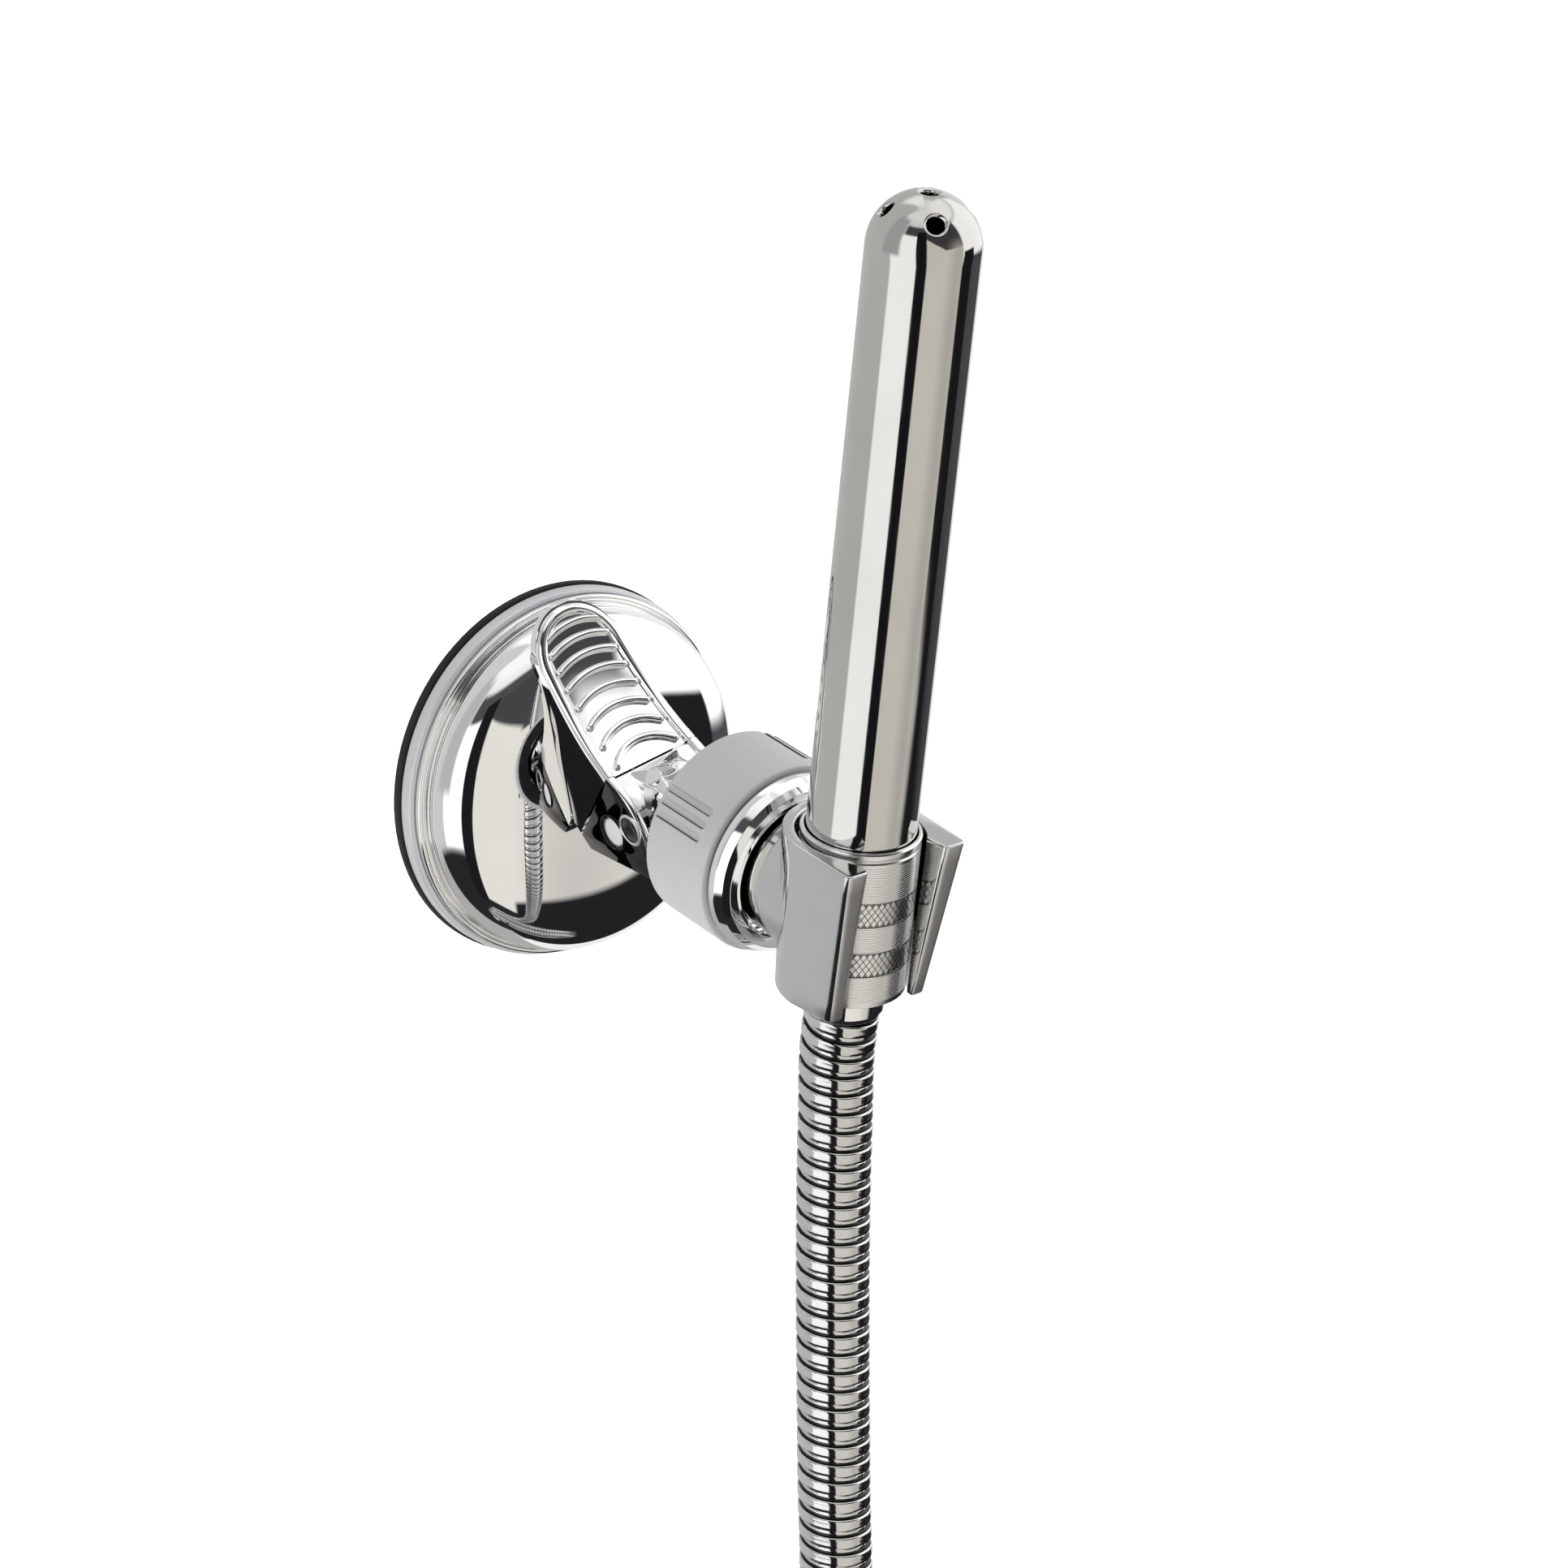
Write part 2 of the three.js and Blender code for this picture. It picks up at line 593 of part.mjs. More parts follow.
place(holder, 'holder_clip', holderClip(), chrome);
place(holder, 'wand_tube', wandTube(), steel);
place(holder, 'wand_base', wandBase(), satin);
place(holder, 'tube_seal', upright(ring(8.8, 10, SEAL_FOOT, SEAL_TOP, 24)), rubber);
place(holder, 'flow_disc', flowDisc(), plastic);
place(holder, 'hose_ferrule_top', hoseFerruleTop(), chrome);
place(holder, 'hose_washer_top', upright(ring(5, 8.9, -1.2, 0.6)), rubber);
place(holder, 'ferrule_retainer', upright(ring(7.9, 9.2, -15, -5)), satin);

function onWandAxis(height) {
  return new THREE.Vector3(0, 0, height).applyMatrix4(holder.matrixWorld).toArray();
}
const clearRing = coilRing(GAP);
const hangingRun = hoseRun(onWandAxis(HOSE_EXIT), onWandAxis(HOSE_EXIT - 10));
place(group, 'hose_tube', hangingRun.subtract(clearRing), steel);
place(group, 'hose_coil', coilRing(0), steel);
place(group, 'hose_tail', hoseTail().subtract(clearRing), steel);
place(group, 'hose_tie', hoseTie(), nylon);

const tailEnd = coilPoint(END_ANGLE);
const fitting = new THREE.Group();
fitting.position.set(tailEnd.x, tailEnd.y, tailEnd.z - TAIL_LENGTH);
group.add(fitting);
place(fitting, 'hose_ferrule_end', upright(turned([[5, -GAP], [7.6, -GAP], [7.6, -20], [8.9, -20],
  [8.9, -23], [5, -23]])), chrome);
place(fitting, 'hose_nut_end', hoseNutEnd(), chrome);
place(fitting, 'hose_washer_end', upright(ring(5, 10.2, -25.2, -23.3)), rubber);

export default group;
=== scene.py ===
"""Hand spray wand on a suction bracket: the looks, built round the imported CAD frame.

Shapes are worked out in millimetres in the CAD's own groups, and scaled to metres as each mesh is made.
"""

from functools import reduce
from math import atan2, ceil, cos, exp, pi, radians, sin, sqrt, tan

import bmesh
import bpy
import numpy as np
from mathutils import Matrix, Vector


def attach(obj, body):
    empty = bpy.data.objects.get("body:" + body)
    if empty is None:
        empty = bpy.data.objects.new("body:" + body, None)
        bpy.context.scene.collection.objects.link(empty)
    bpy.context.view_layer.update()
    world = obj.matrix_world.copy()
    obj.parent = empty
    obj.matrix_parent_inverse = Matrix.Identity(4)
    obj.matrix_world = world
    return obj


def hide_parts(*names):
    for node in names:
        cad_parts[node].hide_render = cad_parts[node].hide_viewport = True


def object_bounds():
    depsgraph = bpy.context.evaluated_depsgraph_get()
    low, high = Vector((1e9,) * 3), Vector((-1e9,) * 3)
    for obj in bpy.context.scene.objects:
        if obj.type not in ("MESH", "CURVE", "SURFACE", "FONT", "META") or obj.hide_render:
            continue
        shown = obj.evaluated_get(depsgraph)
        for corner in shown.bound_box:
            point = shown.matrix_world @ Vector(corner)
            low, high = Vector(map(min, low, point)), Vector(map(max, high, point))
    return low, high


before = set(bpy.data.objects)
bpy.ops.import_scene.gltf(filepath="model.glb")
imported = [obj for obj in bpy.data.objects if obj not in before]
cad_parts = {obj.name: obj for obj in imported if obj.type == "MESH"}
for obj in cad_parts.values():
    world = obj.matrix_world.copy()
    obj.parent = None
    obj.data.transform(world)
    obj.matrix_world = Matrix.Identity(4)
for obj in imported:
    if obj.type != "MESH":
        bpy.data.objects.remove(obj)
cad_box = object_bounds()

# ---- the frame's groups, as in the CAD ----
MM = 0.001
ROLL = radians(11)                    # the lever and arm are turned this far on the base axis
DIP = radians(8.15)                   # the arm slopes down from the base
ARM_REACH, ARM_RISE = 92.2, 0.5       # where the arm meets the wand's axis, out from the wall and up
WORLD = Matrix.Identity(4)
LEVER = Matrix.Rotation(-ROLL, 4, "Y")
ARM = LEVER @ Matrix.Translation((0, -ARM_REACH, ARM_RISE)) @ Matrix.Rotation(DIP, 4, "X")
HOLDER = ARM @ Matrix.Rotation(ROLL, 4, "Y")
OUT_FROM_WALL = Matrix.Rotation(pi / 2, 4, "X")         # a lathe's axis, turned to point away from the wall
TO_WALL = ARM @ Matrix.Rotation(-pi / 2, 4, "X")        # and to point along the arm, back to the wall

# ---- sizes ----
DOME_RADIUS, DOME_FOOT, DOME_RISE, DOME_POWER = 34.2, 8, 13.1, 2.63
PIN_Y, PIN_Z = -34.2, 1.3
PIN_RADIUS, PIN_BORE = 2.9, 3.2
BLIND_HOLE, BLIND_RADIUS = (-40.3, 3.8), 2.6
LEVER_HALF, SLOT_HALF = 10.8, 7.6     # half widths of the lever, and of the hollow in it
TIP_RADIUS, TIP_CENTRE = 9.5, 29.3
TAPER_START = 12.0                    # height at which the tongue starts to narrow to its tip
BEAD, BEAD_SINK = 1.15, 1.0           # radius of the rolled edge, and how far its middle is sunk
FLUTE_WALL, FLUTE_RUN = (18.04, 18.37), (23, 36)         # from the arm's axis, and along it
COLLAR_BORE = 16.9
LIP_FRONT, LIP_LEAN = 11.137, 0.116   # how far the lips' fronts are from the wand's axis, and their slope
TUBE_RADIUS, TUBE_TIP = 10.0, 135.1
BASE_R = 11.0
LINE_PITCH, LINE_DEPTH = 0.42, 0.05
HOLE_RADIUS, HOLE_TILT, HOLE_TURN = 1.5, radians(47), radians(30)
HOSE_RADIUS = 7.0
HOSE_PITCH = 3.8
COIL_RADIUS, COIL_HEIGHT = 84.0, -261.0
RUN_DEPTH, STEP_BACK, STEP_ANGLE, COIL_PITCH = -88.4, 15.4, 200, 14.3
JOIN_ANGLE, END_ANGLE, COIL_STEP = 205, 900, 15.444
TAIL_LENGTH = 100.0
CRISP = 32                            # edges sharper than this many degrees stay crisp


# ---- camera ----
AZIMUTH, ELEVATION = radians(-38.2), radians(20.7)
SENSOR, LENS = 36, 106.86
ASIDE, BELOW, AWAY = 0.0446, 0.0035, 0.9      # metres from the origin, along the camera's own directions


def make_camera():
    back = Vector((sin(AZIMUTH) * cos(ELEVATION), -cos(AZIMUTH) * cos(ELEVATION), sin(ELEVATION)))
    right = Vector((cos(AZIMUTH), sin(AZIMUTH), 0))
    up = back.cross(right)
    data = bpy.data.cameras.new("camera")
    data.sensor_width = SENSOR
    data.lens = LENS
    camera = bpy.data.objects.new("camera", data)
    bpy.context.scene.collection.objects.link(camera)
    turn = Matrix((right, up, back)).transposed().to_4x4()
    camera.matrix_world = Matrix.Translation(right * ASIDE - up * BELOW + back * AWAY) @ turn
    bpy.context.scene.camera = camera


# ---- mesh making ----
def mark_crisp(bm, smooth):
    """Shades the faces smooth, with a crisp edge wherever two of them meet at a sharper angle."""
    limit = radians(smooth)
    for face in bm.faces:
        face.smooth = True
    for edge in bm.edges:
        edge.smooth = len(edge.link_faces) != 2 or edge.calc_face_angle(0) < limit


def place_mesh(name, bm):
    mesh = bpy.data.meshes.new(name)
    bm.to_mesh(mesh)
    bm.free()
    piece = bpy.data.objects.new(name, mesh)
    bpy.context.scene.collection.objects.link(piece)
    return piece


def new_piece(name, bm, matrix, smooth=CRISP):
    """A mesh object from a bmesh in millimetres; matrix is the group that it's drawn in."""
    bmesh.ops.remove_doubles(bm, verts=bm.verts, dist=1e-4)
    bmesh.ops.transform(bm, matrix=Matrix.Scale(MM, 4) @ matrix, verts=bm.verts)
    bmesh.ops.recalc_face_normals(bm, faces=bm.faces)
    mark_crisp(bm, smooth)
    return place_mesh(name, bm)


def reopened(piece):
    """The piece's mesh as a bmesh in millimetres, in the world's axes. The piece itself goes."""
    bm = bmesh.new()
    bm.from_mesh(piece.data)
    bmesh.ops.transform(bm, matrix=Matrix.Scale(1 / MM, 4), verts=bm.verts)
    bpy.data.objects.remove(piece)
    return bm


def join(bm, other, matrix=WORLD):
    """Adds the other bmesh's shells, drawn in the matrix's group, to bm."""
    bmesh.ops.transform(other, matrix=matrix, verts=other.verts)
    holder = bpy.data.meshes.new("joined")
    other.to_mesh(holder)
    other.free()
    bm.from_mesh(holder)
    bpy.data.meshes.remove(holder)


def finish_piece(piece, material, body, slot, *nodes):
    piece.data.materials.append(material)
    if nodes:
        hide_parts(*nodes)
    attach(piece, body)
    return piece


def rounded(points, steps=5):
    """A closed outline with its corners rounded: each point is (a, b) or (a, b, radius)."""
    result = []
    count = len(points)
    for i, point in enumerate(points):
        corner = Vector(point[:2])
        radius = point[2] if len(point) > 2 else 0
        if not radius:
            result.append(tuple(corner))
            continue
        to_last = Vector(points[i - 1][:2]) - corner
        to_next = Vector(points[(i + 1) % count][:2]) - corner
        half = to_last.angle(to_next) / 2
        reach = min(radius / max(0.05, abs(tan(half))), to_last.length * 0.49, to_next.length * 0.49)
        start = corner + to_last.normalized() * reach
        end = corner + to_next.normalized() * reach
        for k in range(steps + 1):
            t = k / steps
            bend = start * (1 - t) ** 2 + corner * 2 * t * (1 - t) + end * t * t
            result.append(tuple(bend))
    return result


def lathe(bm, profile, segments, matrix=WORLD):
    """Turns a closed profile of (radius, height) about the local Z axis."""
    rings = []
    for radius, height in profile:
        if radius < 1e-5:
            rings.append([bm.verts.new(matrix @ Vector((0, 0, height)))])
            continue
        turns = [2 * pi * k / segments for k in range(segments)]
        spots = [Vector((radius * cos(a), radius * sin(a), height)) for a in turns]
        rings.append([bm.verts.new(matrix @ spot) for spot in spots])
    for i, ring in enumerate(rings):
        after = rings[(i + 1) % len(rings)]
        if len(ring) == 1 and len(after) == 1:
            continue
        for k in range(segments):
            n = (k + 1) % segments
            corners = [ring[k % len(ring)], ring[n % len(ring)], after[n % len(after)], after[k % len(after)]]
            bm.faces.new(list(dict.fromkeys(corners)))


def turned(name, profile, matrix, segments=96):
    bm = bmesh.new()
    lathe(bm, profile, segments)
    return new_piece(name, bm, matrix)


def skin(bm, loops, closed=False):
    """Joins a row of equal loops with quads. The row is capped at its ends, or closed on itself."""
    count = len(loops[0])
    for one, two in zip(loops, loops[1:] + loops[:1] if closed else loops[1:]):
        for k in range(count):
            n = (k + 1) % count
            bm.faces.new([one[k], one[n], two[n], two[k]])
    if not closed:
        bm.faces.new(loops[0][::-1])
        bm.faces.new(loops[-1])


def side(a, b, c):
    """Outline (y, z) drawn from the side, at x = c."""
    return Vector((c, a, b))


def front(a, b, c):
    """Outline (x, z) drawn from the front, at y = c."""
    return Vector((a, c, b))


def level(a, b, c):
    """Outline (x, y) drawn from above, at z = c."""
    return Vector((a, b, c))


def crosswise(y, z, x=0):
    """A lathe's axis turned to point across the lever, through (x, y, z) of its group."""
    return Matrix.Translation((x, y, z)) @ Matrix.Rotation(pi / 2, 4, "Y")


def block(outline, low, high, place=side, matrix=LEVER):
    """A piece of one closed outline, from depth low to depth high."""
    bm = bmesh.new()
    skin(bm, [[bm.verts.new(place(a, b, c)) for a, b in outline] for c in (low, high)])
    return new_piece("block", bm, matrix)


def carried_frames(path):
    """Two directions across a path at each of its points, carried along without a twist."""
    last = len(path) - 1
    tangents = [(path[min(i + 1, last)] - path[max(i - 1, 0)]).normalized() for i in range(last + 1)]
    normal = tangents[0].orthogonal().normalized()
    frames = []
    for tangent in tangents:
        normal = (normal - tangent * normal.dot(tangent)).normalized()
        frames.append((normal, tangent.cross(normal)))
    return frames


def rod(bm, points, radius, sides=16, round_ends=True):
    """A round bar along a list of points, with domed ends."""
    path = [Vector(p) for p in points]
    rings = [(p, 1.0) for p in path]
    if round_ends:
        first, last = (path[0] - path[1]).normalized(), (path[-1] - path[-2]).normalized()
        dome = [k / 6 * pi / 2 for k in range(1, 7)]
        head = [(path[0] + first * radius * sin(a), max(cos(a), 1e-3)) for a in dome]
        tail = [(path[-1] + last * radius * sin(a), max(cos(a), 1e-3)) for a in dome]
        rings = head[::-1] + rings + tail
    turns = [2 * pi * k / sides for k in range(sides)]
    loops = []
    for (centre, scale), (one, two) in zip(rings, carried_frames([ring[0] for ring in rings])):
        spokes = [(one * cos(a) + two * sin(a)) * radius * scale for a in turns]
        loops.append([bm.verts.new(centre + spoke) for spoke in spokes])
    skin(bm, loops)


def cut(piece, tools, operation="DIFFERENCE"):
    """Cuts the piece with the tools, which then go."""
    for tool in tools:
        modifier = piece.modifiers.new("cut", "BOOLEAN")
        modifier.operation = operation
        modifier.solver = "EXACT"
        modifier.object = tool
    settle(piece)
    for tool in tools:
        bpy.data.objects.remove(tool)


def settle(piece):
    """Applies the piece's modifiers to its mesh, and finds its crisp edges again."""
    graph = bpy.context.evaluated_depsgraph_get()
    mesh = bpy.data.meshes.new_from_object(piece.evaluated_get(graph))
    piece.modifiers.clear()
    old = piece.data
    piece.data = mesh
    bpy.data.meshes.remove(old)
    bm = bmesh.new()
    bm.from_mesh(mesh)
    mark_crisp(bm, CRISP)
    bm.to_mesh(mesh)
    bm.free()


def bevel(piece, width, limit=40, segments=3):
    modifier = piece.modifiers.new("edges", "BEVEL")
    modifier.width = width * MM
    modifier.segments = segments
    modifier.limit_method = "ANGLE"
    modifier.angle_limit = radians(limit)
    settle(piece)


def smooth_curve(points, count):
    """Points spread evenly along a smooth curve through the given ones."""
    pts = [Vector(p) for p in points]
    ends = [pts[0] * 2 - pts[1]] + pts + [pts[-1] * 2 - pts[-2]]
    dense = []
    for i in range(1, len(ends) - 2):
        p0, p1, p2, p3 = ends[i - 1:i + 3]
        k0, k1, k2 = (max((b - a).length, 1e-6) ** 0.5 for a, b in ((p0, p1), (p1, p2), (p2, p3)))
        m1 = ((p1 - p0) / k0 - (p2 - p0) / (k0 + k1) + (p2 - p1) / k1) * k1
        m2 = ((p2 - p1) / k1 - (p3 - p1) / (k1 + k2) + (p3 - p2) / k2) * k1
        for step in range(24):
            t = step / 24
            h = (2 * t ** 3 - 3 * t * t + 1, t ** 3 - 2 * t * t + t, 3 * t * t - 2 * t ** 3, t ** 3 - t * t)
            dense.append(p1 * h[0] + m1 * h[1] + p2 * h[2] + m2 * h[3])
    dense.append(pts[-1])
    lengths = [0.0]
    for a, b in zip(dense, dense[1:]):
        lengths.append(lengths[-1] + (b - a).length)
    even = np.linspace(0, lengths[-1], count)
    table = np.array([tuple(p) for p in dense])
    columns = [np.interp(even, lengths, table[:, k]) for k in range(table.shape[1])]
    return [Vector(row) for row in zip(*columns)], lengths[-1]


# ---- materials ----
def material(name):
    made = bpy.data.materials.new(name)
    made.use_nodes = True
    tree = made.node_tree
    return made, tree, tree.nodes["Principled BSDF"]


def noise(tree, scale, detail=4, stretch=(1, 1, 1)):
    coords = tree.nodes.new("ShaderNodeTexCoord")
    mapping = tree.nodes.new("ShaderNodeMapping")
    mapping.inputs["Scale"].default_value = stretch
    tree.links.new(coords.outputs["Object"], mapping.inputs["Vector"])
    made = tree.nodes.new("ShaderNodeTexNoise")
    made.inputs["Scale"].default_value = scale
    made.inputs["Detail"].default_value = detail
    tree.links.new(mapping.outputs["Vector"], made.inputs["Vector"])
    return made.outputs["Fac"]


def ramp(tree, value, low, high, from_min=0.35, from_max=0.65, kind="LINEAR"):
    made = tree.nodes.new("ShaderNodeMapRange")
    made.interpolation_type = kind
    for name, number in (("From Min", from_min), ("From Max", from_max), ("To Min", low), ("To Max", high)):
        made.inputs[name].default_value = number
    tree.links.new(value, made.inputs["Value"])
    return made.outputs["Result"]


def smooth_step(tree, value, low, high, rising=True):
    return ramp(tree, value, int(not rising), int(rising), low, high, "SMOOTHSTEP")


def plug(tree, value, socket):
    """Feeds a socket from another node, or sets it to a number or a colour."""
    if isinstance(value, bpy.types.NodeSocket):
        tree.links.new(value, socket)
    else:
        socket.default_value = (*value, 1) if isinstance(value, tuple) else value


def calculate(tree, operation, *values):
    made = tree.nodes.new("ShaderNodeMath")
    made.operation = operation
    for socket, value in zip(made.inputs, values):
        plug(tree, value, socket)
    return made.outputs["Value"]


def blend(tree, mask, one, two, kind="RGBA"):
    """One colour, or one number where the kind is FLOAT, that gives way to two where the mask is 1."""
    made = tree.nodes.new("ShaderNodeMix")
    made.data_type = kind
    plug(tree, one, made.inputs["A"])
    plug(tree, two, made.inputs["B"])
    plug(tree, mask, made.inputs["Factor"])
    return made.outputs["Result"]


def times(tree, one, two):
    return calculate(tree, "MULTIPLY", one, two)


def between(tree, value, low, high):
    """1 where the value lies between two distances in millimetres."""
    return times(tree, calculate(tree, "GREATER_THAN", value, low * MM),
                 calculate(tree, "LESS_THAN", value, high * MM))


def tint(tree, value, low, high):
    return blend(tree, ramp(tree, value, 0, 1), low, high)


def bump(tree, shader, height, strength, distance):
    made = tree.nodes.new("ShaderNodeBump")
    made.inputs["Strength"].default_value = strength
    made.inputs["Distance"].default_value = distance
    tree.links.new(height, made.inputs["Height"])
    tree.links.new(made.outputs["Normal"], shader.inputs["Normal"])


def metal(name, low, high, rough_low, rough_high, grain=900, stretch=(1, 1, 1), strength=0.02, share=1):
    """Metal whose colour and roughness drift a little, with a fine grain in its surface."""
    made, tree, shader = material(name)
    shader.inputs["Metallic"].default_value = share
    cloud = noise(tree, 45)
    tree.links.new(tint(tree, cloud, low, high), shader.inputs["Base Color"])
    streaks = noise(tree, grain, 3, stretch)
    tree.links.new(ramp(tree, streaks, rough_low, rough_high), shader.inputs["Roughness"])
    if strength:
        bump(tree, shader, streaks, strength, 0.00002)
    return made


def chrome(name):
    return metal(name, (0.92, 0.925, 0.93), (0.955, 0.957, 0.96), 0.015, 0.04, strength=0)


def group_position(tree, group):
    """A point's place in the group's own axes, in metres."""
    coords = tree.nodes.new("ShaderNodeTexCoord")
    local = tree.nodes.new("ShaderNodeMapping")
    local.vector_type = "TEXTURE"
    local.inputs["Location"].default_value = group.translation * MM
    local.inputs["Rotation"].default_value = group.to_euler("XYZ")
    tree.links.new(coords.outputs["Object"], local.inputs["Vector"])
    split = tree.nodes.new("ShaderNodeSeparateXYZ")
    tree.links.new(local.outputs["Vector"], split.inputs["Vector"])
    return [split.outputs[k] for k in "XYZ"]


def axis_distance(tree, group):
    """How far a point lies from the group's Z axis, and how far along it, in metres."""
    x, y, z = group_position(tree, group)
    squares = calculate(tree, "ADD", times(tree, x, x), times(tree, y, y))
    return calculate(tree, "SQRT", squares), z


def recolour(tree, mask, colour, roughness=None):
    """Puts another colour, and another roughness if there is one, where the mask is 1."""
    inputs = tree.nodes["Principled BSDF"].inputs
    old = inputs["Base Color"].links[0].from_socket
    plug(tree, blend(tree, mask, old, colour), inputs["Base Color"])
    if roughness is not None:
        old = inputs["Roughness"].links[0].from_socket
        plug(tree, blend(tree, mask, old, roughness, "FLOAT"), inputs["Roughness"])


def shade_flutes(tree):
    """Paints shade onto the steep walls of the collar's flutes and into its bore, by distance from the arm's
    axis.
    """
    radius, along = axis_distance(tree, TO_WALL)
    wall = times(tree, between(tree, radius, *FLUTE_WALL), between(tree, along, *FLUTE_RUN))
    # painted shade: the flutes' steep walls are darkened
    recolour(tree, wall, (0.12, 0.12, 0.12))
    # painted shade: the collar's bore is coloured nearly black
    recolour(tree, calculate(tree, "LESS_THAN", radius, COLLAR_BORE * MM), (0.01, 0.01, 0.01))


def paint_lip_front_light(tree):
    """The flat fronts of the cradle's lips get a pale colour, a painted reflection of light, and a higher
    roughness. They lean out towards the top.
    """
    _, y, z = group_position(tree, HOLDER)
    lean = calculate(tree, "ADD", times(tree, z, LIP_LEAN), LIP_FRONT * MM)
    past = calculate(tree, "SUBTRACT", times(tree, y, -1), lean)
    # painted reflection: a pale colour on the lips' flat fronts
    recolour(tree, smooth_step(tree, past, -0.35 * MM, -0.12 * MM), (0.92, 0.92, 0.91), 0.42)


def shade_cheek(tree):
    """Painted shade on the yoke's left cheek and in the blind holes, and a painted highlight on the lips
    round those holes.
    """
    x, _, _ = group_position(tree, LEVER)
    cheek = smooth_step(tree, times(tree, x, -1), (LEVER_HALF - 0.45) * MM,
                        (LEVER_HALF - 0.25) * MM)
    # painted shade: the left cheek is coloured nearly black
    recolour(tree, cheek, (0.03, 0.03, 0.032))
    radius, _ = axis_distance(tree, LEVER @ crosswise(*BLIND_HOLE))
    # painted highlight: a pale ring on the lips round the blind holes
    recolour(tree, calculate(tree, "LESS_THAN", radius, (BLIND_RADIUS + 0.6) * MM), (0.9, 0.9, 0.9), 0.4)
    # painted shade: the blind holes are coloured nearly black
    recolour(tree, calculate(tree, "LESS_THAN", radius, (BLIND_RADIUS - 0.05) * MM), (0.02, 0.02, 0.02))


def crown(tree):
    """The paddle's face is crowned across by a third of a millimetre."""
    x, _, _ = group_position(tree, LEVER)
    fall = times(tree, times(tree, x, x), -7.0)
    bump(tree, tree.nodes["Principled BSDF"], fall, 1, 1)


def turned_metal():
    """Nickel with fine tool marks, with painted shade down in the grooves, by distance from the wand's axis.
    """
    made, tree, shader = material("turned_nickel")
    shader.inputs["Metallic"].default_value = 1
    radius, z = axis_distance(tree, HOLDER)
    raised = ramp(tree, radius, 0, 1, (BASE_R - 0.26) * MM, (BASE_R - 0.04) * MM)
    light = calculate(tree, "MAXIMUM", raised, calculate(tree, "GREATER_THAN", z, 13.7 * MM))
    bright = tint(tree, noise(tree, 45), (0.80, 0.80, 0.79), (0.86, 0.86, 0.85))
    # painted shade: grooves coloured nearly black, raised parts and the lipped top keep the metal's colour
    plug(tree, blend(tree, light, (0.09, 0.09, 0.09), bright), shader.inputs["Base Color"])
    plug(tree, ramp(tree, noise(tree, 1500, 3, (1, 1, 9)), 0.17, 0.27), shader.inputs["Roughness"])
    return made


def dull(name, low, high, roughness, grain, strength, distance):
    """Rubber or plastic with a fine moulded grain."""
    made, tree, shader = material(name)
    cloud = noise(tree, 60)
    tree.links.new(tint(tree, cloud, low, high), shader.inputs["Base Color"])
    tree.links.new(ramp(tree, cloud, roughness - 0.06, roughness + 0.06), shader.inputs["Roughness"])
    shader.inputs["Specular IOR Level"].default_value = 0.12
    bump(tree, shader, noise(tree, grain, 5), strength, distance)
    return made


CHROME = chrome("bright_chrome")
SATIN = metal("satin_plate", (0.635, 0.65, 0.64), (0.675, 0.69, 0.68), 0.62, 0.70, 2500, strength=0.05,
              share=0.4)
# satin plate with painted shade in the collar's flutes and bore
shade_flutes(SATIN.node_tree)
RING_GREY = metal("satin_ring", (0.68, 0.685, 0.705), (0.74, 0.745, 0.765), 0.42, 0.5, 2500, strength=0.05,
                  share=0.5)
STEEL_TUBE = metal("polished_tube", (0.60, 0.59, 0.57), (0.645, 0.635, 0.615), 0.03, 0.085, 700,
                   (1, 1, 0.06), 0.03)
# painted shade: a near-black metal for the hose's walls down to its sunk band
HOSE_RECESS_SHADE = metal("hose_recess_shade", (0.05, 0.05, 0.05), (0.08, 0.08, 0.08), 0.25, 0.35, 1200)
HOSE_METAL = metal("hose_steel", (0.68, 0.68, 0.675), (0.74, 0.74, 0.735), 0.07, 0.13, 1200)
CLIP_CHROME = metal("clip_chrome", (0.63, 0.64, 0.635), (0.67, 0.68, 0.675), 0.08, 0.13, 1800)
# painted reflection of light on the cradle lips' fronts
paint_lip_front_light(CLIP_CHROME.node_tree)
PADDLE_CHROME = chrome("paddle_chrome")
crown(PADDLE_CHROME.node_tree)
YOKE_CHROME = chrome("yoke_chrome")
# yoke chrome with painted shade and a painted highlight on its left cheek
shade_cheek(YOKE_CHROME.node_tree)
PIN_METAL = metal("pin_end", (0.84, 0.84, 0.84), (0.90, 0.90, 0.90), 0.5, 0.6, share=0.4)
MACHINED = metal("machined_steel", (0.56, 0.56, 0.55), (0.66, 0.66, 0.65), 0.24, 0.36, 1500, (1, 1, 6), 0.06)
TURNED = turned_metal()
RUBBER = dull("black_rubber", (0.022, 0.022, 0.025), (0.032, 0.032, 0.036), 0.6, 1600, 0.25, 0.0001)
PLASTIC = dull("white_plastic", (0.74, 0.74, 0.73), (0.82, 0.82, 0.81), 0.45, 900, 0.1, 0.0001)
NYLON = dull("black_nylon", (0.03, 0.03, 0.033), (0.05, 0.05, 0.054), 0.4, 1200, 0.2, 0.0001)


